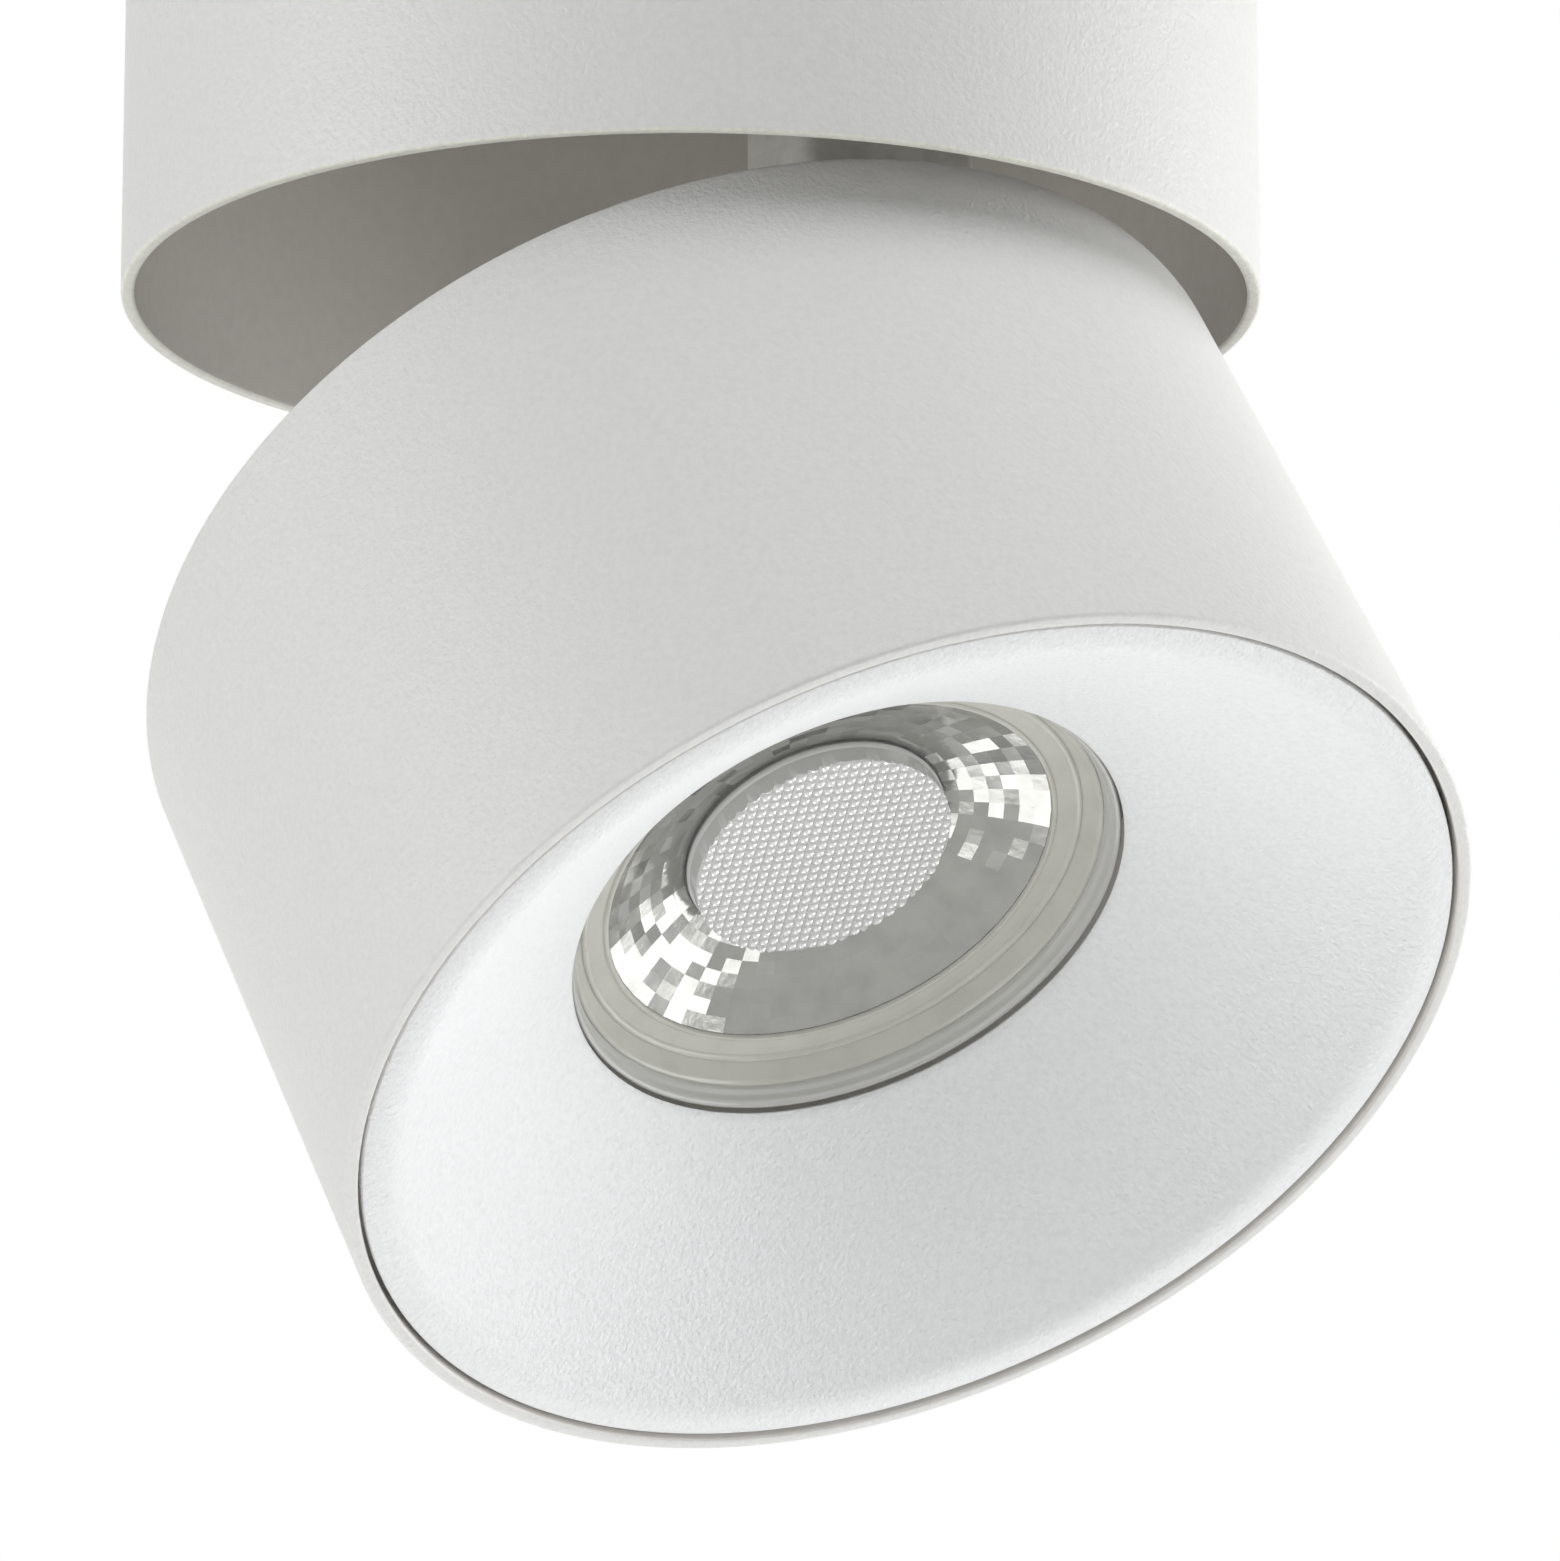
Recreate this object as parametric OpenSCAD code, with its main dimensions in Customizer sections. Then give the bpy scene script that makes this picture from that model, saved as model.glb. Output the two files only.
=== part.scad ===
// Surface-mounted ceiling spotlight. A round shell is fixed to the ceiling, and a head of the same
// diameter hangs from an arm inside it. The arm turns about the vertical axis, and the head tilts on
// a hinge near its own edge. Millimetres, +Z up, origin at the centre of the ceiling face.

/* [Shell] */
// Outer diameter of the shell and the head
shell_d = 100; // [94:1:120]
// Height of the shell below the ceiling
shell_h = 60; // [58:1:80]
// Wall of the shell and the head
wall = 1.2; // [1:0.1:2]
// Flat on each edge of a rim
rim_chamfer = 0.3; // [0.1:0.05:0.4]
// Gap between the shell and the head when the head is closed
closed_gap = 1.2; // [0.8:0.1:2]

/* [Head] */
// Length of the head along its axis
head_len = 55.4; // [52:0.2:70]
// Tilt of the head as it is stored, from straight down
tilt = 33.7; // [0:0.1:60]

/* [Hinge] */
// Hinge axis in from the outside of the head
hinge_inset = 8.6; // [8:0.1:10]
// Hinge axis below the head's back rim
hinge_drop = 11.2; // [10:0.1:13]
// Diameter of the hinge bolt
bolt_d = 4; // [3:0.5:5]
// Radius of the knuckle round the hinge bolt
knuckle_r = 4.2; // [4:0.1:4.6]
// Thickness of each hinge lug
lug_t = 3; // [2:0.5:4]
// Collar thickness of a hinge bush
bush_collar_t = 0.8; // [0.6:0.1:1.2]
// Wall of a hinge bush
bush_wall = 0.95; // [0.8:0.05:1.2]
// Thickness of a hinge washer
hinge_washer_t = 0.6; // [0.4:0.1:1]
// Height of the hinge bolt's head
bolt_head_h = 2.2; // [1.8:0.1:3]
// Diameter of the hinge bolt's head
bolt_head_d = 7.6; // [7:0.1:9]
// Width across the flats of the hinge nut
hinge_nut_af = 7; // [6.5:0.5:8]
// Thickness of the hinge nut
hinge_nut_t = 3.2; // [2.6:0.1:5]

/* [Arm] */
// Width of the arm
arm_w = 18.4; // [16:0.2:22]
// Sheet of the arm
arm_t = 1.2; // [1:0.1:1.5]
// Depth of the arm's side flanges
arm_flange = 9; // [7:0.5:10]
// Outside radius of the arm's long bends
arm_bend_r = 1.8; // [1.6:0.1:2.4]
// Room between the arm and the head's rim at full tilt
arm_clear = 1; // [0.8:0.1:2]
// Radius of the arm's round top
arm_top_r = 14; // [12:0.5:16]

/* [Swivel] */
// Outer diameter of the hollow threaded nipple
nipple_d = 10; // [9:0.5:12]
// Bore of the nipple
nipple_bore_d = 7.2; // [6:0.2:7.6]
// Width across the flats of a nipple nut
nipple_nut_af = 14; // [13.5:0.5:17]
// Thickness of a nipple nut
nipple_nut_t = 3.5; // [2.5:0.1:4.5]
// Thickness of the nylon slide washer
slide_washer_t = 0.8; // [0.5:0.1:1.2]
// Outer diameter of the nylon slide washer
slide_washer_d = 22; // [18:0.5:24]
// Thickness of the stop washer
stop_washer_t = 1.2; // [1:0.1:2]
// Outer diameter of the stop washer
stop_washer_d = 17; // [16:0.5:18]
// Sheet of the disc spring
disc_spring_t = 0.5; // [0.4:0.1:0.8]
// Height of the disc spring
disc_spring_h = 0.9; // [0.8:0.1:1.4]
// Radius at which the stop pin stands
stop_pin_at = 13; // [12:0.5:15]
// Diameter of the stop pin
stop_pin_d = 2.5; // [2:0.1:3]
// Width of the stop washer's finger
stop_finger_w = 2; // [1.6:0.1:3]

/* [Deck] */
// Deck plate below the ceiling
deck_z = 24; // [22:0.5:26]
// Sheet of the deck plate
deck_t = 1.5; // [1.2:0.1:2]
// Radius of the three screw bosses
boss_r = 4.2; // [4:0.1:5]
// Height of the three screw bosses
boss_h = 9; // [8:0.5:12]
// Diameter of the deck's tapping screws
deck_screw_d = 2.9; // [2.5:0.1:3.5]
// Length of the deck's tapping screws
deck_screw_l = 8; // [6:0.5:8]

/* [Ceiling bracket] */
// Width of the bracket strip
bracket_w = 22; // [20:1:26]
// Sheet of the bracket strip
bracket_t = 1.5; // [1.2:0.1:2]
// Height of the bracket's turned-down ends
tab_h = 14; // [12:1:18]
// Distance between the two ceiling slots
slot_spacing = 60; // [54:1:64]
// Length of each ceiling slot, end to end
slot_l = 12; // [8:1:14]
// Width of each ceiling slot
slot_w = 4.5; // [4:0.1:6]
// Bore of the cable grommet
grommet_bore_d = 9; // [7:0.5:10]
// Hole in the bracket for the grommet
grommet_hole_d = 13; // [12:0.5:15]
// Diameter of the side screws
side_screw_d = 4; // [3:0.5:5]
// Side screws below the ceiling
side_screw_z = 8; // [7:0.5:9]
// Length of the side screws
side_screw_l = 7; // [6:0.5:9]

/* [Terminal block] */
// Distance from one pole to the next
pole_pitch = 8.5; // [8.4:0.1:9]
// Width of the block along the wires
block_w = 15; // [14:0.5:18]
// Height of the block
block_h = 13; // [12:0.5:14]
// Centre of the block from the swivel axis
block_y = 26; // [25:0.5:28]
// Height of the wire bores above the deck
port_h = 5; // [4.5:0.1:6]
// Diameter of a wire bore
port_d = 3.2; // [2.8:0.1:3.4]
// Outer diameter of a brass insert
insert_d = 5.2; // [5:0.1:5.6]
// Diameter of a clamping screw
clamp_screw_d = 3; // [2.5:0.1:3.2]
// Length of a clamping screw
clamp_screw_l = 5; // [4:0.5:6]

/* [Leads] */
// Diameter of an insulated lead
lead_d = 2.2; // [1.8:0.1:2.4]
// Diameter of a bare conductor
core_d = 1.2; // [1:0.1:1.4]
// Diameter of the sleeve over the lamp leads
sleeve_d = 4; // [3.6:0.1:4.6]

/* [Holder] */
// Diameter of the ceramic holder
holder_d = 25; // [24:0.5:30]
// Height of the ceramic holder
holder_h = 15; // [14:0.5:18]
// Front wall of the holder, which the pins hook behind
holder_front = 3.2; // [3:0.1:3.6]
// Depth of the two pin chambers
chamber_h = 4; // [3.9:0.1:5]
// Twist of the lamp between its free and its locked place
lamp_twist = 40; // [35:1:45]
// Distance between the two holder screws
holder_screw_pitch = 19; // [18.5:0.1:20]
// Width of the holder bracket
holder_bracket_w = 16; // [14:0.5:20]
// Sheet of the holder bracket
holder_bracket_t = 1.2; // [1:0.1:1.5]
// Inside half width between the bracket's legs
leg_x = 17; // [16:0.5:20]
// Diameter of the machine screws in the head
small_screw_d = 3; // [2.5:0.1:3.2]
// Boss top below the head's back rim
bracket_drop = 4; // [3:0.5:6]

/* [Front cone] */
// Flat lip of the cone
lip_w = 2.8; // [2:0.1:4]
// Gap round the cone's lip
lip_gap = 0.4; // [0.3:0.05:0.6]
// Lip behind the head's front rim
lip_set = 0.3; // [0.1:0.05:1]
// Opening of the cone
aperture_d = 49.6; // [46:0.1:49.6]
// Depth of the cone's opening behind the front rim
cone_depth = 15.9; // [14:0.1:18]
// Wall of the cone
cone_t = 1.2; // [0.8:0.1:1.6]
// Depth of the cone's skirt behind the front rim
skirt_depth = 9; // [8:0.1:12]
// Skirt in from the lip's edge
skirt_inset = 2; // [1.8:0.1:2.4]
// Width of a leaf spring
spring_w = 8; // [6:0.5:10]
// Sheet of a leaf spring
spring_t = 0.4; // [0.3:0.05:0.5]
// Height of the three seats that stop the cone
seat_h = 2; // [1.5:0.1:3]

/* [Lamp] */
// Diameter of the lamp
lamp_d = 50; // [49:0.1:50]
// Lamp behind the front rim
lamp_set = 16.7; // [16.5:0.1:19]
// Length of the lamp without its pins
lamp_len = 46.6; // [44:0.2:50]
// Wall of the lamp's glass
glass_t = 1.3; // [1:0.1:1.6]
// Diameter of the lamp's base
lamp_base_d = 25; // [24:0.5:26]
// Length of the lamp's base
lamp_base_h = 14; // [12:0.5:16]
// Distance between the two pins
pin_pitch = 10; // [10:0.1:10]
// Diameter of a pin's stem
pin_stem_d = 2.9; // [2.7:0.1:3.1]
// Diameter of a pin's head
pin_head_d = 5; // [4.8:0.1:5]
// Length of a pin's head
pin_head_h = 2.8; // [2.6:0.1:3]
// Width of the band between the lamp's edge and the faceted reflector
ring_band = 5; // [4.5:0.1:6]
// Depth of the reflector's rim behind the lamp's front
facet_set = 4.3; // [3.5:0.1:5]
// Diameter of the dotted lens
lens_d = 23; // [20:0.5:24]
// Depth of the dotted face behind the lamp's front
lens_set = 5.8; // [5:0.1:7]
// Height of the dotted lens above the clear funnel
lens_boss_h = 2.4; // [1.5:0.1:3]
// Depth of the light source's board behind the reflector's rim
board_h = 13; // [11:0.5:14]

/* [Hidden] */
$fn = 96;

// Clearances: a screw or pin in its hole, a part dropped in a wall, and the least overlap of a cut.
fit = 0.05;
drop_in = 0.3;
cut = 0.5;
// A core hole is this much under its screw's size.
tap_less = 0.4;
// Room between the lamp's base and the holder, and behind the front wall for the pins' heads.
holder_gap = 0.3;
pin_play = 0.4;
// Sheet of the small contacts in the holder.
contact_t = 0.4;
// Pan heads of the small screws, and of the earth screw.
pan_d = 5.4;
pan_h = 1.9;
earth_pan_d = 7;
earth_pan_h = 2.4;
// Length of a small screw's thread in the head, and the bosses that take it.
thread_l = 8;
head_boss_r = 4;
head_boss_l = 12;
// Bosses sink this far into the wall they stand on.
boss_sink = 0.4;
boss_turns = [0, 120, 240];
// Hinge lugs: their round end over the knuckle's size, and their foot below it.
lug_over = 0.4;
lug_foot = 4;
// Width of a seat that stops the cone.
seat_w = 6;
// Insulation of a lead ends this far inside the terminal block's bore edge.
lead_end = 0.6;
// Room round the pins in their curved slots, and round the sleeve in its hole.
slot_play = 0.5;
sleeve_play = 0.4;

shell_r = shell_d / 2;
inner_r = shell_r - wall;
hinge_y = shell_r - hinge_inset;
hinge_z = -(shell_h + closed_gap + hinge_drop);
arm_y = hinge_y - hinge_drop - arm_clear;
tab_x = sqrt(pow(inner_r, 2) - pow(bracket_w / 2, 2)) - drop_in;
boss_at = inner_r - boss_r + boss_sink;
arm_z = deck_z + deck_t + slide_washer_t;
block_l = 3 * pole_pitch;
port_z = port_h - deck_z;
bolt_x = arm_w / 2 + bush_collar_t + hinge_washer_t + lug_t;
holder_z = lamp_set + lamp_len + holder_gap - head_len;
bracket_top = holder_z + holder_h;
bracket_boss_at = inner_r - head_boss_r + boss_sink;
cone_r = aperture_d / 2;
lip_r = inner_r - lip_gap;
cone_top_r = lip_r - lip_w;
skirt_r = lip_r - skirt_inset;
spring_turns = [30, 150, 270];
seat_turns = [90, 210, 330];
pin_at = pin_pitch / 2;
facet_d = lamp_d - 2 * ring_band;

// Puts what is drawn with the head straight down, its back rim at z = 0, at the stored tilt.
module in_head() {
    translate([0, -hinge_y, hinge_z])
        rotate([-tilt, 0, 0])
            translate([0, hinge_y, hinge_drop])
                children();
}

// The same with the front rim at z = 0 and the depth behind it as +Z.
module from_front() {
    in_head() translate([0, 0, -head_len]) children();
}

module ring(r_out, r_in, h) {
    difference() {
        cylinder(r = r_out, h = h);
        translate([0, 0, -cut]) cylinder(r = r_in, h = h + 2 * cut);
    }
}

module hex(af, h) {
    cylinder(r = af / sqrt(3), h = h, $fn = 6);
}

// Points of a smooth curve through a list of points.
function curve_point(p, i, t) =
    let (a = p[max(i - 1, 0)], b = p[i], c = p[i + 1], d = p[min(i + 2, len(p) - 1)])
    0.5 * (2 * b + (c - a) * t + (2 * a - 5 * b + 4 * c - d) * t * t + (3 * b - a - 3 * c + d) * t * t * t);
function curve(p, steps) =
    concat([for (i = [0 : len(p) - 2], k = [0 : steps - 1]) curve_point(p, i, k / steps)], [p[len(p) - 1]]);
function unit(v) = v / norm(v);
function heading(p, i) = unit(p[min(i + 1, len(p) - 1)] - p[max(i - 1, 0)]);

// A round tube along points. Side is a direction that the route never takes.
module tube(p, d, side, sides = 8) {
    rings = [for (i = [0 : len(p) - 1])
        let (t = heading(p, i), a = unit(cross(t, side)), b = cross(t, a))
        [for (k = [0 : sides - 1]) p[i] + d / 2 * (cos(360 * k / sides) * a + sin(360 * k / sides) * b)]];
    last = (len(p) - 1) * sides;
    polyhedron(
        points = [for (r = rings, q = r) q],
        faces = concat(
            [[for (k = [0 : sides - 1]) k]],
            [[for (k = [sides - 1 : -1 : 0]) last + k]],
            [for (i = [0 : len(p) - 2], k = [0 : sides - 1])
                [i * sides + k, (i + 1) * sides + k, (i + 1) * sides + (k + 1) % sides]],
            [for (i = [0 : len(p) - 2], k = [0 : sides - 1])
                [i * sides + k, (i + 1) * sides + (k + 1) % sides, i * sides + (k + 1) % sides]]));
}

// Wall of the shell or the head, with its rims broken by small flats.
module round_wall(h) {
    rotate_extrude($fn = 180) polygon([
        [inner_r, rim_chamfer], [inner_r + rim_chamfer, 0], [shell_r - rim_chamfer, 0],
        [shell_r, rim_chamfer], [shell_r, h - rim_chamfer], [shell_r - rim_chamfer, h],
        [inner_r + rim_chamfer, h], [inner_r, h - rim_chamfer]]);
}

// Strip with slotted ends that is screwed to the ceiling, its ends turned down inside the shell.
module ceiling_bracket() {
    color("silver") difference() {
        union() {
            translate([-tab_x, -bracket_w / 2, -bracket_t]) cube([2 * tab_x, bracket_w, bracket_t]);
            for (s = [0, 1]) mirror([s, 0, 0])
                translate([tab_x - bracket_t, -bracket_w / 2, -tab_h]) cube([bracket_t, bracket_w, tab_h]);
        }
        for (s = [-1, 1]) translate([s * slot_spacing / 2, 0, -bracket_t - cut]) {
            for (e = [-1, 1]) translate([e * (slot_l - slot_w) / 2, 0, 0])
                cylinder(d = slot_w, h = bracket_t + 2 * cut);
            translate([-(slot_l - slot_w) / 2, -slot_w / 2, 0])
                cube([slot_l - slot_w, slot_w, bracket_t + 2 * cut]);
        }
        translate([0, 0, -bracket_t - cut]) cylinder(d = grommet_hole_d, h = bracket_t + 2 * cut);
        for (s = [0, 1]) mirror([s, 0, 0])
            translate([tab_x - bracket_t - cut, 0, -side_screw_z]) rotate([0, 90, 0])
                cylinder(d = side_screw_d + 2 * fit, h = bracket_t + 2 * cut);
    }
}

// Rubber grommet that lines the cable hole, flush with the ceiling face.
module cable_grommet() {
    color([0.13, 0.13, 0.13]) rotate_extrude() polygon([
        [grommet_bore_d / 2, 0], [grommet_hole_d / 2 - fit, 0],
        [grommet_hole_d / 2 - fit, -bracket_t - fit], [grommet_hole_d / 2 + 1.6, -bracket_t - fit],
        [grommet_hole_d / 2 + 1.6, -bracket_t - 1.2], [grommet_hole_d / 2 + 0.8, -bracket_t - 2],
        [grommet_bore_d / 2, -bracket_t - 2]]);
}

// Round shell with three screw bosses that carry the deck.
module upper_shell() {
    color([0.85, 0.85, 0.84]) difference() {
        union() {
            translate([0, 0, -shell_h]) round_wall(shell_h);
            intersection() {
                for (a = boss_turns) rotate([0, 0, a])
                    translate([boss_at, 0, -deck_z - deck_t - boss_h]) cylinder(r = boss_r, h = boss_h);
                translate([0, 0, -shell_h]) cylinder(r = inner_r + wall / 2, h = shell_h, $fn = 180);
            }
        }
        for (a = boss_turns) rotate([0, 0, a])
            translate([boss_at, 0, -deck_z - deck_t - boss_h + 1])
                cylinder(d = deck_screw_d - tap_less, h = boss_h + cut);
        for (s = [0, 1]) mirror([s, 0, 0])
            translate([inner_r - cut, 0, -side_screw_z]) rotate([0, 90, 0])
                cylinder(d = side_screw_d + 4 * fit, h = wall + 2 * cut);
    }
}

// Socket screws that hold the shell to the turned-down ends.
module side_screws() {
    color("dimgray") for (s = [0, 1]) mirror([s, 0, 0])
        translate([shell_r - 0.4 - side_screw_l, 0, -side_screw_z]) rotate([0, 90, 0]) difference() {
            cylinder(d = side_screw_d, h = side_screw_l);
            translate([0, 0, side_screw_l - 2]) hex(side_screw_d / 2, 2 + cut);
        }
}

// Round steel deck that carries the swivel below it and the terminal block above it.
module deck_plate() {
    color("silver") translate([0, 0, -deck_z - deck_t]) difference() {
        cylinder(r = inner_r - drop_in, h = deck_t, $fn = 180);
        translate([0, 0, -cut]) {
            cylinder(d = nipple_d + 2 * fit, h = deck_t + 2 * cut);
            for (a = boss_turns) rotate([0, 0, a])
                translate([boss_at, 0, 0]) cylinder(d = deck_screw_d + 4 * fit, h = deck_t + 2 * cut);
            translate([0, stop_pin_at, 0]) cylinder(d = stop_pin_d + 2 * fit, h = deck_t + 2 * cut);
            for (s = [-1, 1]) translate([s * pole_pitch / 2, block_y, 0])
                cylinder(d = small_screw_d - tap_less, h = deck_t + 2 * cut);
            translate([-earth_x, earth_y, 0]) cylinder(d = side_screw_d + 2 * fit, h = deck_t + 2 * cut);
        }
    }
}

// Pan head screw that points down, its head resting at z = 0.
module pan_screw(d, l, head_d, head_h) {
    translate([0, 0, -l]) cylinder(d = d, h = l);
    difference() {
        rotate_extrude() polygon([[0, 0], [head_d / 2, 0], [head_d / 2, head_h * 0.55],
            [head_d / 2 * 0.72, head_h], [0, head_h]]);
        for (a = [0, 90]) rotate([0, 0, a])
            translate([-head_d * 0.3, -0.35, head_h * 0.45]) cube([head_d * 0.6, 0.7, head_h]);
    }
}

module deck_screws() {
    color("silver") for (a = boss_turns) rotate([0, 0, a])
        translate([boss_at, 0, -deck_z])
            pan_screw(deck_screw_d - tap_less - 2 * fit, deck_screw_l, pan_d, pan_h);
}

// Pin that ends the swivel's turn.
module stop_pin() {
    color("silver") translate([0, stop_pin_at, -deck_z - deck_t])
        cylinder(d = stop_pin_d, h = deck_t + stop_washer_t + 1.6);
}

// Places what is drawn at the height of the wire bores, one for each pole.
module each_pole() {
    for (i = [-1, 0, 1]) translate([i * pole_pitch, block_y, port_z]) children();
}

// Three-pole terminal block. The supply goes in at its outer side, the lamp leads at its inner side.
block_low_h = port_h + insert_d / 2 + 0.6;
module terminal_block() {
    color([0.93, 0.92, 0.88]) difference() {
        union() {
            translate([-block_l / 2, block_y - block_w / 2, -deck_z]) cube([block_l, block_w, block_low_h]);
            each_pole() for (s = [-1, 1]) translate([0, s * block_w / 4, 0])
                cylinder(d = clamp_screw_d + 2, h = block_h - port_h);
        }
        each_pole() {
            translate([0, -block_w / 2 - cut, 0]) rotate([-90, 0, 0])
                cylinder(d = insert_d + 2 * fit, h = block_w + 2 * cut);
            for (s = [-1, 1]) translate([0, s * block_w / 4, 0])
                cylinder(d = clamp_screw_d + 4 * fit, h = block_h);
        }
        for (s = [-1, 1]) translate([s * pole_pitch / 2, block_y, -deck_z - cut])
            cylinder(d = small_screw_d - tap_less + 2 * fit, h = block_h + 2 * cut);
    }
}

// Brass sleeves that join each pair of wires.
module terminal_inserts() {
    color([0.8, 0.66, 0.34]) each_pole() difference() {
        translate([0, -block_w / 2 + 1, 0]) rotate([-90, 0, 0]) cylinder(d = insert_d, h = block_w - 2);
        translate([0, -block_w / 2, 0]) rotate([-90, 0, 0]) cylinder(d = port_d, h = block_w);
        for (s = [-1, 1]) translate([0, s * block_w / 4, 0])
            cylinder(d = clamp_screw_d + 2 * fit, h = insert_d);
    }
}

// Slotted screws: open over the supply side, down on the lead at the lamp side.
module clamp_screws() {
    color("silver") each_pole() for (s = [-1, 1])
        translate([0, s * block_w / 4, (s > 0 ? port_d / 2 : core_d - port_d / 2) + 2 * fit]) difference() {
            cylinder(d = clamp_screw_d, h = clamp_screw_l);
            translate([-clamp_screw_d, -0.3, clamp_screw_l - 0.9]) cube([2 * clamp_screw_d, 0.6, 1.4]);
        }
}

module block_screws() {
    color("silver") for (s = [-1, 1]) translate([s * pole_pitch / 2, block_y, -deck_z + block_low_h])
        pan_screw(small_screw_d - tap_less - 2 * fit, block_low_h + deck_t, pan_d, pan_h);
}

// Leads from the block over the nipple's edge and down into its bore.
core_z = port_z - port_d / 2 + core_d / 2 + fit;
block_in = block_y - block_w / 2;
module feed_leads() {
    for (s = [-1, 1]) {
        color(s > 0 ? [0.45, 0.27, 0.16] : [0.16, 0.35, 0.66])
            tube(curve([[s * pole_pitch, block_in - lead_end, core_z],
                [s * pole_pitch, block_in - 4, core_z + 0.6],
                [s * (pole_pitch - 1), block_in - 9, core_z + 5],
                [s * 4, 4.5, -nipple_top + 4.2], [s * 1.6, 1, -nipple_top + 2.2],
                [s * 1.3, 0, -nipple_top - 2.4], [s * 1.3, 0, -nipple_top - 5]], 5), lead_d, [1, 0, 0.3]);
        color([0.75, 0.45, 0.25]) translate([s * pole_pitch, block_in - lead_end + fit, core_z])
            rotate([-90, 0, 0]) cylinder(d = core_d, h = block_w / 2 - 1);
    }
}

// Earth lead from the middle pole to a lug on the deck.
earth_x = 20;
earth_y = 6;
lug_sheet = 0.8;
module earth_lead() {
    lug_top = -deck_z + lug_sheet + lead_d / 2 + fit;
    color([0.45, 0.6, 0.2]) tube(curve([[0, block_in - lead_end, core_z], [0, block_in - 2.2, core_z],
        [-2.4, block_in - 4.6, core_z - 0.5], [-7.5, block_in - 6.4, core_z - 1.4], [-12.6, 9.4, lug_top],
        [-earth_x + 5.4, earth_y + 1.4, lug_top],
        [-earth_x + 4.4, earth_y + 1, lug_top]], 5), lead_d, [0, 0.3, 1]);
    color([0.75, 0.45, 0.25]) translate([0, block_in - lead_end + fit, core_z]) rotate([-90, 0, 0])
        cylinder(d = core_d, h = block_w / 2 - 1);
    color("silver") translate([-earth_x, earth_y, -deck_z]) difference() {
        union() {
            cylinder(d = 8, h = lug_sheet);
            rotate([0, 0, 12]) translate([2, -1.6, 0]) cube([3.6, 3.2, lug_sheet]);
        }
        translate([0, 0, -cut]) cylinder(d = side_screw_d + 4 * fit, h = lug_sheet + 2 * cut);
    }
}

// Screw that clamps the lug, its end flush with the deck's underside so that the arm passes below.
module earth_screw() {
    color([0.8, 0.66, 0.34]) translate([-earth_x, earth_y, -deck_z + lug_sheet])
        pan_screw(side_screw_d, lug_sheet + deck_t, earth_pan_d, earth_pan_h);
}

// Swivel stack. The nipple turns in the deck, clamped to the arm and to the stop washer.
spring_z = deck_z - stop_washer_t;
nut_z = spring_z - disc_spring_h;
nipple_top = nut_z - 2 * nipple_nut_t - 1;
nipple_low = arm_z + arm_t + nipple_nut_t + 2;

module swivel_nipple() {
    color([0.8, 0.66, 0.34]) translate([0, 0, -nipple_low])
        ring(nipple_d / 2, nipple_bore_d / 2, nipple_low - nipple_top);
}

module nipple_nuts() {
    color([0.8, 0.66, 0.34]) for (z = [-nut_z, -nut_z + nipple_nut_t + fit, -arm_z - arm_t - nipple_nut_t])
        translate([0, 0, z]) difference() {
            hex(nipple_nut_af, nipple_nut_t);
            translate([0, 0, -cut]) cylinder(d = nipple_d + 2 * fit, h = nipple_nut_t + 2 * cut);
        }
}

// Washer keyed to the nipple, whose finger meets the stop pin.
module stop_washer() {
    color("silver") translate([0, 0, -deck_z]) difference() {
        union() {
            cylinder(d = stop_washer_d, h = stop_washer_t);
            translate([-stop_finger_w / 2, -stop_pin_at - stop_pin_d / 2, 0])
                cube([stop_finger_w, stop_pin_at + stop_pin_d / 2, stop_washer_t]);
        }
        translate([0, 0, -cut]) cylinder(d = nipple_d + 2 * fit, h = stop_washer_t + 2 * cut);
    }
}

// Coned spring that loads the swivel, so that it stays where it is turned.
module disc_spring() {
    r_in = nipple_d / 2 + 2 * fit;
    r_out = nipple_nut_af / 2 + 0.6;
    color([0.55, 0.55, 0.56]) translate([0, 0, -spring_z]) rotate_extrude() polygon([
        [r_out, 0], [r_out, disc_spring_t], [r_in, disc_spring_h], [r_in, disc_spring_h - disc_spring_t]]);
}

module slide_washer() {
    color([0.92, 0.92, 0.9]) translate([0, 0, -arm_z])
        ring(slide_washer_d / 2, nipple_d / 2 + fit, slide_washer_t);
}

// Section of the arm's channel, its web towards the hinge.
module channel() {
    difference() {
        union() {
            translate([-arm_w / 2, -arm_y + arm_bend_r]) square([arm_w, arm_flange - arm_bend_r]);
            translate([-arm_w / 2 + arm_bend_r, -arm_y]) square([arm_w - 2 * arm_bend_r, arm_flange]);
            for (s = [-1, 1]) translate([s * (arm_w / 2 - arm_bend_r), -arm_y + arm_bend_r])
                circle(r = arm_bend_r, $fn = 48);
        }
        translate([-arm_w / 2 + arm_t, -arm_y + arm_bend_r]) square([arm_w - 2 * arm_t, arm_flange]);
        translate([-arm_w / 2 + arm_bend_r, -arm_y + arm_t]) square([arm_w - 2 * arm_bend_r, arm_flange]);
        for (s = [-1, 1]) translate([s * (arm_w / 2 - arm_bend_r), -arm_y + arm_bend_r])
            circle(r = arm_bend_r - arm_t, $fn = 48);
    }
}

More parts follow.
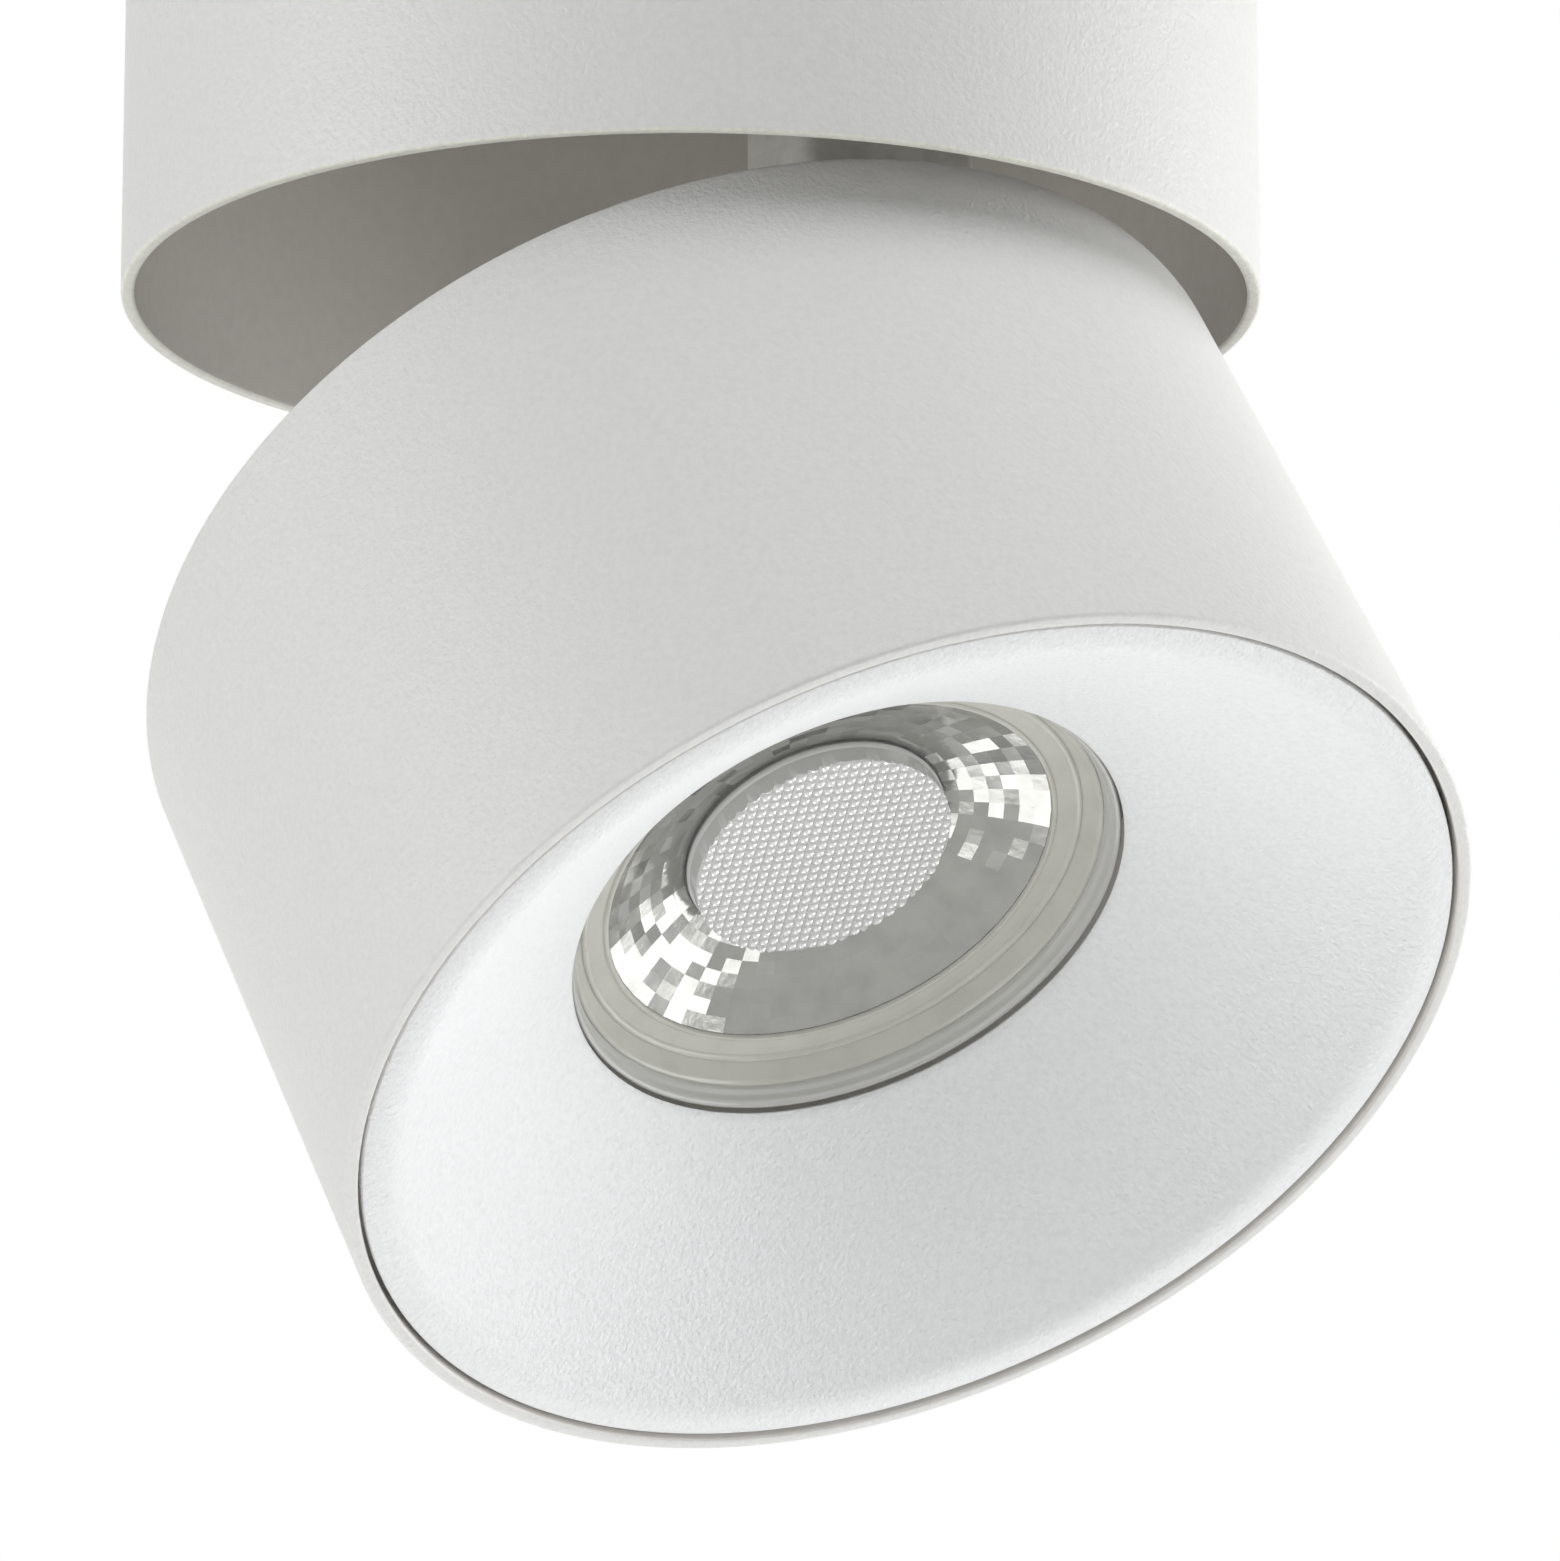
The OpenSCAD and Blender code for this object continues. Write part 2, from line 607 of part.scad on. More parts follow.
// Side of the arm below the shell's rim, from the channel to the knuckle, as y and z.
crank_z = hinge_z + knuckle_r + 0.3;
channel_low = crank_z + 8;
module arm_side() {
    difference() {
        union() {
            polygon([[-arm_y, channel_low + 2], [-arm_y, crank_z], [-hinge_y - knuckle_r * 0.5, crank_z],
                [-hinge_y - knuckle_r * 0.5, hinge_z], [-hinge_y, hinge_z - knuckle_r],
                [-hinge_y + knuckle_r * 0.7, hinge_z - knuckle_r], [-arm_y + arm_flange * 0.4, crank_z + 1],
                [-arm_y + arm_flange, channel_low], [-arm_y + arm_flange, channel_low + 2]]);
            translate([-hinge_y, hinge_z]) circle(r = knuckle_r, $fn = 64);
        }
        translate([-hinge_y, hinge_z]) circle(d = bolt_d + 2 * bush_wall + 4 * fit, $fn = 64);
    }
}

// Galvanised arm: a round top under the deck, a channel down inside the shell, and a crank that
// reaches out to the hinge over the head's rim.
module swivel_arm() {
    color([0.66, 0.67, 0.67]) union() {
        translate([0, 0, -arm_z - arm_t]) difference() {
            union() {
                cylinder(r = arm_top_r, h = arm_t);
                translate([-arm_w / 2, -arm_y + arm_t / 2, 0]) cube([arm_w, arm_y - arm_t / 2, arm_t]);
            }
            translate([0, 0, -cut]) cylinder(d = nipple_d + 2 * fit, h = arm_t + 2 * cut);
        }
        translate([0, 0, channel_low]) linear_extrude(-arm_z - channel_low) channel();
        translate([-arm_w / 2 + arm_bend_r, -arm_y, crank_z - arm_t])
            cube([arm_w - 2 * arm_bend_r, arm_t, channel_low - crank_z + arm_t + cut]);
        translate([-arm_w / 2 + arm_t / 2, -hinge_y - knuckle_r * 0.5, crank_z - arm_t])
            cube([arm_w - arm_t, hinge_y + knuckle_r * 0.5 - arm_y + arm_t, arm_t]);
        for (x = [-arm_w / 2, arm_w / 2 - arm_t]) translate([x, 0, 0])
            rotate([90, 0, 90]) linear_extrude(arm_t) arm_side();
    }
}

// Draws along the hinge axis, +Z being the way out of the arm's right side.
module at_hinge(s) {
    translate([0, -hinge_y, hinge_z]) rotate([0, s * 90, 0]) children();
}

module hinge_bushes() {
    color([0.92, 0.92, 0.9]) for (s = [-1, 1]) at_hinge(s) {
        difference() {
            union() {
                translate([0, 0, arm_w / 2 - arm_t - cut])
                    cylinder(r = bolt_d / 2 + bush_wall + fit, h = arm_t + 2 * cut);
                translate([0, 0, arm_w / 2]) cylinder(r = knuckle_r, h = bush_collar_t);
            }
            translate([0, 0, arm_w / 2 - arm_t - 2 * cut])
                cylinder(r = bolt_d / 2 + fit, h = arm_t + bush_collar_t + 4 * cut);
        }
    }
}

// Tilting head: a round wall with hinge lugs, bosses for the holder bracket and seats for the cone.
module head_shell() {
    color([0.85, 0.85, 0.84]) in_head() difference() {
        union() {
            translate([0, 0, -head_len]) round_wall(head_len);
            intersection() {
                translate([0, 0, -head_len]) cylinder(r = inner_r + wall / 2, h = head_len, $fn = 180);
                union() {
                    for (s = [0, 1]) mirror([s, 0, 0]) translate([bolt_x - lug_t, 0, 0]) {
                        translate([0, -hinge_y, -hinge_drop]) rotate([0, 90, 0])
                            cylinder(r = knuckle_r + lug_over, h = lug_t);
                        translate([0, -shell_r, -hinge_drop - knuckle_r - lug_foot])
                            cube([lug_t, hinge_inset, 2 * knuckle_r + lug_foot + lug_over]);
                    }
                    for (s = [-1, 1]) translate([s * bracket_boss_at, 0, -bracket_drop - head_boss_l])
                        cylinder(r = head_boss_r, h = head_boss_l);
                    for (a = seat_turns) rotate([0, 0, a])
                        translate([skirt_r - 2 * cone_t, -seat_w / 2, -head_len + skirt_depth + fit])
                            cube([shell_r - skirt_r + 2 * cone_t, seat_w, seat_h]);
                }
            }
        }
        translate([-bolt_x - cut, -hinge_y, -hinge_drop]) rotate([0, 90, 0])
            cylinder(r = bolt_d / 2 + fit, h = 2 * bolt_x + 2 * cut);
        for (s = [-1, 1]) translate([s * bracket_boss_at, 0, -bracket_drop - thread_l - 1])
            cylinder(d = small_screw_d - tap_less, h = thread_l + 1 + cut);
    }
}

// Bolt through the lugs and the arm's knuckle, and its lock nut.
module hinge_bolt() {
    color("silver") in_head() translate([0, -hinge_y, -hinge_drop]) rotate([0, 90, 0]) {
        translate([0, 0, -bolt_x - fit]) cylinder(d = bolt_d, h = 2 * bolt_x + hinge_nut_t + 2);
        translate([0, 0, -bolt_x]) rotate([180, 0, 0]) difference() {
            rotate_extrude() polygon([[0, 0], [bolt_head_d / 2, 0], [bolt_head_d / 2, bolt_head_h * 0.4],
                [bolt_head_d * 0.3, bolt_head_h], [0, bolt_head_h]]);
            translate([0, 0, bolt_head_h - 1.3]) hex(2.5, 2);
        }
    }
}

module hinge_nut() {
    color("silver") in_head() translate([bolt_x, -hinge_y, -hinge_drop]) rotate([0, 90, 0]) difference() {
        union() {
            hex(hinge_nut_af, hinge_nut_t * 0.75);
            cylinder(d = hinge_nut_af * 0.86, h = hinge_nut_t);
        }
        translate([0, 0, -cut]) cylinder(r = bolt_d / 2 + fit, h = hinge_nut_t + 2 * cut);
    }
}

module hinge_washers() {
    color([0.7, 0.7, 0.71]) in_head() for (s = [0, 1]) mirror([s, 0, 0])
        translate([arm_w / 2 + bush_collar_t, -hinge_y, -hinge_drop]) rotate([0, 90, 0])
            ring(knuckle_r + 0.3, bolt_d / 2 + fit, hinge_washer_t);
}

// Hat-shaped bracket that carries the lamp holder behind the head's open back.
hat = holder_bracket_t;
hat_end = bracket_boss_at + 2.4;
module holder_bracket() {
    color([0.7, 0.71, 0.71]) in_head() difference() {
        translate([0, holder_bracket_w / 2, 0]) rotate([90, 0, 0]) linear_extrude(holder_bracket_w) polygon([
            [-hat_end, -bracket_drop], [-leg_x, -bracket_drop], [-leg_x, bracket_top], [leg_x, bracket_top],
            [leg_x, -bracket_drop], [hat_end, -bracket_drop], [hat_end, -bracket_drop + hat],
            [leg_x + hat, -bracket_drop + hat], [leg_x + hat, bracket_top + hat],
            [-leg_x - hat, bracket_top + hat], [-leg_x - hat, -bracket_drop + hat],
            [-hat_end, -bracket_drop + hat]]);
        for (s = [-1, 1]) translate([s * bracket_boss_at, 0, -bracket_drop - cut])
            cylinder(d = small_screw_d + 4 * fit, h = hat + 2 * cut);
        for (s = [-1, 1]) translate([s * holder_screw_pitch / 2, 0, bracket_top - cut])
            cylinder(d = small_screw_d + 4 * fit, h = hat + 2 * cut);
    }
}

module bracket_screws() {
    color("silver") in_head() for (s = [-1, 1]) translate([s * bracket_boss_at, 0, -bracket_drop + hat])
        pan_screw(small_screw_d - tap_less - 2 * fit, thread_l + hat, pan_d, pan_h);
}

// Curved slot that a pin sweeps from its locked place to its free place.
function arc(r, from, to, steps) = [for (i = [0 : steps]) let (a = from + (to - from) * i / steps)
    [r * cos(a), r * sin(a)]];
function moved(points, x, turn) = [for (q = points)
    [(q[0] + x) * cos(turn) - q[1] * sin(turn), (q[0] + x) * sin(turn) + q[1] * cos(turn)]];
module pin_slot(w, h) {
    for (a = [0, 180]) rotate([0, 0, a]) linear_extrude(h) polygon(concat(
        arc(pin_at + w / 2, 0, lamp_twist, 8),
        moved(arc(w / 2, 20, 160, 6), pin_at, lamp_twist),
        arc(pin_at - w / 2, lamp_twist, 0, 8),
        moved(arc(w / 2, 200, 340, 6), pin_at, 0)));
}

// Ceramic lamp holder. The pins go in at the round holes and hook behind the front wall.
chamber_top = holder_front + chamber_h;
exit_h = chamber_top + sleeve_d / 2 + 0.3;
tail_h = 2;
module lamp_holder() {
    color([0.93, 0.92, 0.88]) in_head() translate([0, 0, holder_z]) difference() {
        rotate_extrude() polygon([[0, 0], [holder_d / 2 - 1, 0], [holder_d / 2, 1],
            [holder_d / 2, holder_h - 0.6], [holder_d / 2 - 0.6, holder_h], [0, holder_h]]);
        rotate([0, 0, 90]) {
            translate([0, 0, -cut]) pin_slot(pin_stem_d + slot_play, holder_front + 2 * cut);
            for (a = [0, 180]) rotate([0, 0, a + lamp_twist]) translate([pin_at, 0, -cut])
                cylinder(d = pin_head_d + pin_play, h = holder_front + 2 * cut, $fn = 48);
            translate([0, 0, holder_front]) pin_slot(pin_head_d + slot_play, chamber_h);
        }
        for (s = [-1, 1]) translate([s * holder_screw_pitch / 2, 0, 3])
            cylinder(d = small_screw_d + 2 * fit, h = holder_h);
        translate([-1.2, -pin_at - 1.6, chamber_top - cut]) cube([2.4, 2 * pin_at + 3.2, cut + tail_h + 0.6]);
        translate([0, -holder_d / 2 - cut, exit_h]) rotate([-90, 0, 0])
            cylinder(d = sleeve_d + sleeve_play, h = holder_d / 2 - 3);
    }
}

// Bronze contacts at the back of the two chambers, each with its tail in the holder's rear channel.
module holder_contacts() {
    color([0.78, 0.55, 0.3]) in_head() translate([0, 0, holder_z + chamber_top - contact_t])
        for (a = [90, 270]) rotate([0, 0, a]) {
            translate([pin_at - 1.4, -2, 0]) cube([2.8, 4, contact_t]);
            translate([pin_at - contact_t / 2, -0.9, 0]) cube([contact_t, 1.8, contact_t + tail_h]);
        }
}

module holder_screws() {
    color("silver") in_head() for (s = [-1, 1]) translate([s * holder_screw_pitch / 2, 0, bracket_top + hat])
        pan_screw(small_screw_d, hat + thread_l, pan_d, pan_h);
}

// Where a point of the head's middle plane lies at the stored tilt.
function head_point(y, z) = [0,
    -hinge_y + (y + hinge_y) * cos(tilt) + (z + hinge_drop) * sin(tilt),
    hinge_z - (y + hinge_y) * sin(tilt) + (z + hinge_drop) * cos(tilt)];

// Sleeved lamp leads, down inside the arm's channel and into the holder's side. They slide through
// the nipple as the head tilts.
sleeve_y = -arm_y + arm_t + sleeve_d / 2 + 1.7;
sleeve_low = channel_low + 4;
module lamp_leads() {
    color([0.9, 0.9, 0.88]) tube(curve([[0, 0, -nipple_low + 4], [0, 0, -nipple_low + 1],
        [0, -1.6, -nipple_low - 2.6], [0, sleeve_y * 0.38, -nipple_low - 8.2],
        [0, sleeve_y * 0.76, -nipple_low - 12], [0, sleeve_y, -nipple_low - 17.5], [0, sleeve_y, sleeve_low],
        [0, sleeve_y * 0.76, sleeve_low - 4.6],
        for (out = [7, 2, -3]) head_point(-holder_d / 2 - out, holder_z + exit_h)], 4),
        sleeve_d, [1, 0, 0], 10);
}

// Front cone: a flat lip, a soft bend, the cone down to its opening, and a skirt for the springs.
cone_run = cone_top_r - cone_r;
cone_fall = cone_depth - lip_set;
cone_len = norm([cone_run, cone_fall]);
back_shift = cone_t * cone_len / cone_fall;
bend_r = 1.4;
bend_turn = atan2(cone_fall, cone_run);
bend_steps = 6;
bend_cut = bend_r * tan(bend_turn / 2);
module front_cone() {
    color([0.95, 0.95, 0.95]) from_front() rotate_extrude($fn = 180) polygon(concat(
        [[lip_r, lip_set + cone_t], [lip_r, lip_set + 0.2], [lip_r - 0.2, lip_set]],
        [for (i = [0 : bend_steps]) let (a = bend_turn * i / bend_steps)
            [cone_top_r + bend_cut - bend_r * sin(a), lip_set + bend_r * (1 - cos(a))]],
        [[cone_r, cone_depth], [cone_r, cone_depth + 0.4], [cone_r + back_shift, cone_depth + 0.4],
        [skirt_r - cone_t, lip_set + (cone_r + back_shift - skirt_r + cone_t) * cone_fall / cone_run
            + cone_fall + 0.4],
        [skirt_r - cone_t, skirt_depth], [skirt_r, skirt_depth], [skirt_r, lip_set + cone_t]]));
}

// Bowed leaf springs on the skirt, which grip the inside of the head.
module cone_springs() {
    z0 = lip_set + cone_t + 0.5;
    z1 = skirt_depth - 0.6;
    bow = inner_r - drop_in - 0.2 - spring_t - skirt_r;
    color([0.6, 0.61, 0.62]) from_front() for (a = spring_turns) rotate([0, 0, a])
        translate([skirt_r + fit, spring_w / 2, 0]) rotate([90, 0, 0]) linear_extrude(spring_w) polygon([
            [0, z1], [0, z1 - 2.4], [bow, z1 - 4], [bow, z1 - 4.6], [0.4, z0],
            [0.4 + spring_t, z0], [bow + spring_t, z1 - 4.7], [bow + spring_t, z1 - 3.9],
            [spring_t, z1 - 2.2], [spring_t, z1]]);
}

module spring_rivets() {
    color("silver") from_front() for (a = spring_turns) rotate([0, 0, a])
        translate([skirt_r + fit + spring_t, 0, skirt_depth - 1.8]) rotate([0, 90, 0])
            cylinder(r = 0.9, h = 0.5, $fn = 24);
}

// Lamp. Its profile runs from the front rim, round the bowl, to the neck in the base.
lamp_r = lamp_d / 2;
base_from = lamp_set + lamp_len - lamp_base_h;
neck_r = lamp_base_d / 2 - 1.4;
neck_in = neck_r - glass_t;
neck_set = 2;
rim_h = 3;
rim_t = 1.1;
bowl_h = lamp_len - lamp_base_h - 1 - rim_h;
function bowl_r(t) = neck_r + (lamp_r - 0.5 - neck_r) * sqrt(1 - 0.97 * pow(t, 2.4));
function bowl_in(t) = bowl_r(t) - glass_t;
bowl_steps = 14;
module lamp_glass() {
    color([0.8, 0.86, 0.86, 0.4]) from_front() translate([0, 0, lamp_set]) rotate_extrude($fn = 120)
        polygon(concat(
        [[lamp_r - rim_t, 0.4], [lamp_r - 0.8, 0], [lamp_r - 0.4, 0], [lamp_r, 0.4], [lamp_r, 1.4],
        [lamp_r - 0.3, 1.9], [lamp_r - 0.3, rim_h]],
        [for (i = [1 : bowl_steps]) let (t = i / bowl_steps) [bowl_r(t), rim_h + bowl_h * t]],
        [[neck_r, rim_h + bowl_h + 1], [neck_r, rim_h + bowl_h + 1 + neck_set]],
        [[neck_in, rim_h + bowl_h + 1 + neck_set], [neck_in, rim_h + bowl_h + 0.2]],
        [for (i = [bowl_steps : -1 : 1]) let (t = i / bowl_steps) [bowl_in(t), rim_h + bowl_h * t - 0.8 * t]],
        [[lamp_r - rim_t, rim_h]]));
}

// Bright dish with its facets towards the front, and a hole that the lens stands in.
dish_steps = 6;
dish_t = 0.8;
boss_low = lens_set + lens_boss_h;
dish_in = lens_d / 2 + drop_in;
function dish_r(t) = facet_d / 2 + (dish_in - facet_d / 2) * t;
function dish_z(t) = facet_set + (boss_low - facet_set) * (1.3 * t - 0.3 * t * t);
module lamp_reflector() {
    color([0.8, 0.81, 0.82]) from_front() translate([0, 0, lamp_set]) rotate_extrude($fn = 120)
        polygon(concat(
            [[facet_d / 2 + rim_t, facet_set + dish_t], [facet_d / 2 + rim_t, facet_set]],
            [[facet_d / 2, facet_set]],
            [for (i = [1 : dish_steps]) let (t = i / dish_steps) [dish_r(t), dish_z(t)]],
            [for (i = [dish_steps : -1 : 0]) let (t = i / dish_steps) [dish_r(t), dish_z(t) + dish_t]]));
}

// Clear lens: a raised round face with a grid of small dots, a flange under the dish, and a foot
// round the chip.
chip_r = 5.5;
chip_t = 0.8;
board_set = facet_set + board_h;
module lamp_lens() {
    foot_in = chip_r + drop_in;
    flange_at = boss_low + dish_t + fit;
    color([0.9, 0.92, 0.92, 0.5]) from_front() translate([0, 0, lamp_set]) rotate_extrude($fn = 120) polygon([
        [0, lens_set], [lens_d / 2 - 0.3, lens_set], [lens_d / 2, lens_set + 0.3],
        [lens_d / 2, flange_at],
        [dish_in + 1, flange_at], [dish_in + 1, flange_at + flange_t],
        [lens_d / 2 - 0.6, flange_at + flange_t],
        [lens_d / 2 - 3, flange_at + 4], [foot_in + 1, board_set - chip_t - 1], [foot_in + 1, board_set],
        [foot_in, board_set], [foot_in, board_set - chip_t - drop_in], [0, board_set - chip_t - drop_in]]);
}

// Pale ring that holds the dish in the glass. It slopes inwards, with one step half way.
flange_t = 0.8;
ring_set = 1.8;
ring_lip = 0.2;
step_in = 2.8;
step_h = 0.4;
module lamp_ring() {
    lip = facet_set - fit - ring_lip;
    ring_out = lamp_r - rim_t - fit;
    color([0.78, 0.78, 0.74]) from_front() translate([0, 0, lamp_set]) rotate_extrude($fn = 120) polygon([
        [facet_d / 2, facet_set - fit], [facet_d / 2, lip],
        [lamp_r - step_in, lip - step_h], [lamp_r - step_in + 0.2, lip - 2 * step_h],
        [ring_out, ring_set], [ring_out, rim_h - fit],
        [ring_out - 1, facet_set + dish_t], [facet_d / 2 + rim_t + fit, facet_set + dish_t],
        [facet_d / 2 + rim_t + fit, facet_set - fit]]);
}

// Round board with the light source, at the foot of the reflector.
board_t = 1.2;
board_low = board_set + board_t;
module led_board() {
    color([0.9, 0.9, 0.9]) from_front() translate([0, 0, lamp_set + board_set])
        cylinder(r = bowl_in((board_low - rim_h) / bowl_h) - 0.5, h = board_t);
}

module led_chip() {
    color([0.95, 0.85, 0.35]) from_front() translate([0, 0, lamp_set + board_set - chip_t])
        cylinder(r = chip_r, h = chip_t);
}

// Small driver board on edge inside the neck.
module driver_board() {
    top = lamp_set + lamp_len - base_end_t;
    low = lamp_set + board_low;
    half = neck_in - base_inset - fit;
    color([0.2, 0.45, 0.25]) from_front() {
        translate([-half, -board_t / 2, low]) cube([2 * half, board_t, top - low]);
        translate([-4, 0, low + 5]) cube([8, 4, 7]);
        translate([-2.5, -4, top - 12]) cube([5, 4, 6]);
    }
}

// White base that closes the lamp's neck.
base_end_t = 1.8;
base_inset = 0.6;
module lamp_base() {
    color([0.94, 0.94, 0.92]) from_front() translate([0, 0, base_from]) difference() {
        rotate_extrude() polygon([[0, lamp_base_h - base_end_t],
            [neck_in - base_inset, lamp_base_h - base_end_t], [neck_in - base_inset, neck_set],
            [neck_r + fit, neck_set], [neck_r + fit, 0], [lamp_base_d / 2, 0],
            [lamp_base_d / 2, lamp_base_h - 3], [lamp_base_d / 2 - 2, lamp_base_h], [0, lamp_base_h]]);
        for (s = [-1, 1]) translate([0, s * pin_at, lamp_base_h - base_end_t - cut])
            cylinder(d = pin_stem_d + 2 * fit, h = base_end_t + 2 * cut);
    }
}

// Two pins with wider heads.
module lamp_pins() {
    stem = holder_front + holder_gap + pin_play;
    color("silver") from_front() for (s = [-1, 1]) translate([0, s * pin_at, lamp_set + lamp_len]) {
        translate([0, 0, -base_end_t]) cylinder(d = pin_stem_d, h = base_end_t + stem + 0.2, $fn = 48);
        translate([0, 0, stem]) rotate_extrude($fn = 48) polygon([[0, 0], [pin_head_d / 2, 0],
            [pin_head_d / 2, pin_head_h - 0.7], [pin_head_d / 2 - 0.7, pin_head_h], [0, pin_head_h]]);
    }
}

ceiling_bracket();
cable_grommet();
upper_shell();
side_screws();
deck_plate();
deck_screws();
stop_pin();
terminal_block();
terminal_inserts();
clamp_screws();
block_screws();
feed_leads();
earth_lead();
earth_screw();
swivel_nipple();
nipple_nuts();
stop_washer();
disc_spring();
slide_washer();
swivel_arm();
hinge_bushes();
head_shell();
hinge_bolt();
hinge_nut();
hinge_washers();
holder_bracket();
bracket_screws();
lamp_holder();
holder_contacts();
holder_screws();
lamp_leads();
front_cone();
cone_springs();
spring_rivets();
lamp_glass();
lamp_reflector();
lamp_lens();
lamp_ring();
led_board();
led_chip();
driver_board();
lamp_base();
lamp_pins();
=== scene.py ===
"""Ceiling spotlight: a round shell on the ceiling, and a tilting head with a white cone and a lamp.

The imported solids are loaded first. Eight of them are modelled again here, with the edges, facets and dots
that the eye sees, and the others get materials.
"""

import bpy
import math
from mathutils import Matrix, Vector


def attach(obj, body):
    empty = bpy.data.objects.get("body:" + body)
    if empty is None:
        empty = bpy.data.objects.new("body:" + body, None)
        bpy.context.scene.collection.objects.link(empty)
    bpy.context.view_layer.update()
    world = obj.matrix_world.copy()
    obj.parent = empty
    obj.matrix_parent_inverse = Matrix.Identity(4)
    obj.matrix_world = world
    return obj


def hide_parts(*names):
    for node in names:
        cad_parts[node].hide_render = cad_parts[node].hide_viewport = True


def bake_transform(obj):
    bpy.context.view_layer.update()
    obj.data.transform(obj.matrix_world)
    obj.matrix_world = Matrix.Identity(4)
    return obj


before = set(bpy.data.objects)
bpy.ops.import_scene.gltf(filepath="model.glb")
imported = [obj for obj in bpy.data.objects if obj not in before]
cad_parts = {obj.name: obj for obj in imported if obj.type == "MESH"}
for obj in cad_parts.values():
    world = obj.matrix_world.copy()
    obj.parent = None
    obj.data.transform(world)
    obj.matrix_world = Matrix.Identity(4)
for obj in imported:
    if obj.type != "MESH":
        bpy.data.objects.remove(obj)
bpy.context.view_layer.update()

MM = 0.001

# Sizes of the part in millimetres, as its source has them.
SHELL_R = 50.0
INNER_R = 48.8
SHELL_H = 60.0
HEAD_LENGTH = 55.4
TILT = math.radians(33.7)

# The hinge: its distance from the axis, its height, its depth in the head, its bore and its lugs.
HINGE_Y = 41.4
HINGE_Z = -72.4
HINGE_DROP = 11.2
HINGE_BORE_R = 2.05
BOLT_X = 13.6
LUG_R = 4.6
LUG_WIDTH = 3
LUG_FOOT_Y = -47.9
LUG_FOOT_LOW = -19.4
LUG_FOOT_HIGH = -6.6

# The deck's lower face, and the bosses in the shell that it rests on.
DECK_LOW = -25.5
BOSS_AT = 45.0
BOSS_R = 4.18
BOSS_LENGTH = 9
BOSS_CORE_R = 1.25
BOSS_CORE_DEPTH = 8

# Bosses in the head for the holder's bracket, with the lower and upper ends of each and of its core hole.
BRACKET_BOSS_AT = 45.2
BRACKET_BOSS_R = 3.9
BRACKET_BOSS_ENDS = (-16, -4)
BRACKET_CORE_R = 1.3
BRACKET_CORE_ENDS = (-13, -3)

# Seats that stop the cone, as two corners of a block.
SEAT = ((44, -3, -46.35), (49, 3, -44.35))

# Screw holes in the shell's sides, and how far below the ceiling they are.
SIDE_HOLE_R = 2.1
SIDE_HOLE_DROP = 8

# How far the lamp's front stands behind the head's front rim.
LAMP_SET = 16.7

# Steps round a large turned piece, and round the lamp's pieces.
WALL_STEPS = 240
LAMP_STEPS = 160

# The round of a wall's edge, and the height of the band that it is cut from.
EDGE_ROUND = 0.34
EDGE_BAND = 0.7

# The head as it is drawn, straight down with its back rim at zero, and then turned to the stored tilt.
IN_HEAD = (Matrix.Translation(Vector((0, -HINGE_Y, HINGE_Z)) * MM) @ Matrix.Rotation(-TILT, 4, "X")
           @ Matrix.Translation(Vector((0, HINGE_Y, HINGE_DROP)) * MM))
FROM_FRONT = IN_HEAD @ Matrix.Translation((0, 0, -HEAD_LENGTH * MM))
LAMP_FRONT = FROM_FRONT @ Matrix.Translation((0, 0, LAMP_SET * MM))
STRAIGHT = Matrix.Identity(4)
SIDEWAYS = Matrix.Rotation(math.radians(90), 4, "Y")


# Modelling

def only(piece):
    """Selects one piece and makes it active."""
    bpy.ops.object.select_all(action="DESELECT")
    piece.select_set(True)
    bpy.context.view_layer.objects.active = piece


def put(piece, place):
    """Moves a piece that was made at the origin to its place, and leaves the place in its mesh."""
    only(piece)
    piece.matrix_world = place @ piece.matrix_world
    bpy.ops.object.transform_apply(location=True, rotation=True, scale=True)


def turned(name, outline, steps, place=STRAIGHT):
    """A piece turned on a lathe. The outline goes round once, as radius and height in millimetres."""
    bpy.ops.object.select_all(action="DESELECT")
    bpy.ops.mesh.primitive_plane_add(size=MM)
    piece = bpy.context.object
    piece.name = name
    bpy.ops.object.mode_set(mode="EDIT")
    bpy.ops.mesh.merge(type="CENTER")
    bpy.ops.transform.translate(value=(outline[0][0] * MM, 0, outline[0][1] * MM))
    here = outline[0]
    for point in outline[1:] + outline[:1]:
        step = ((point[0] - here[0]) * MM, 0, (point[1] - here[1]) * MM)
        bpy.ops.mesh.extrude_vertices_move(TRANSFORM_OT_translate={"value": step})
        here = point
    bpy.ops.mesh.select_all(action="SELECT")
    bpy.ops.mesh.spin(steps=steps, angle=2 * math.pi, center=(0, 0, 0), axis=(0, 0, 1))
    bpy.ops.mesh.select_all(action="SELECT")
    bpy.ops.mesh.remove_doubles(threshold=0.002 * MM)
    bpy.ops.mesh.normals_make_consistent(inside=False)
    bpy.ops.object.mode_set(mode="OBJECT")
    put(piece, place)
    return piece


def rod(name, radius, low, high, place=STRAIGHT, sides=48):
    """A round bar along the height, between two heights in millimetres."""
    bpy.ops.object.select_all(action="DESELECT")
    bpy.ops.mesh.primitive_cylinder_add(vertices=sides, radius=radius * MM, depth=(high - low) * MM,
                                        location=(0, 0, (high + low) / 2 * MM))
    piece = bpy.context.object
    piece.name = name
    put(piece, place)
    return piece


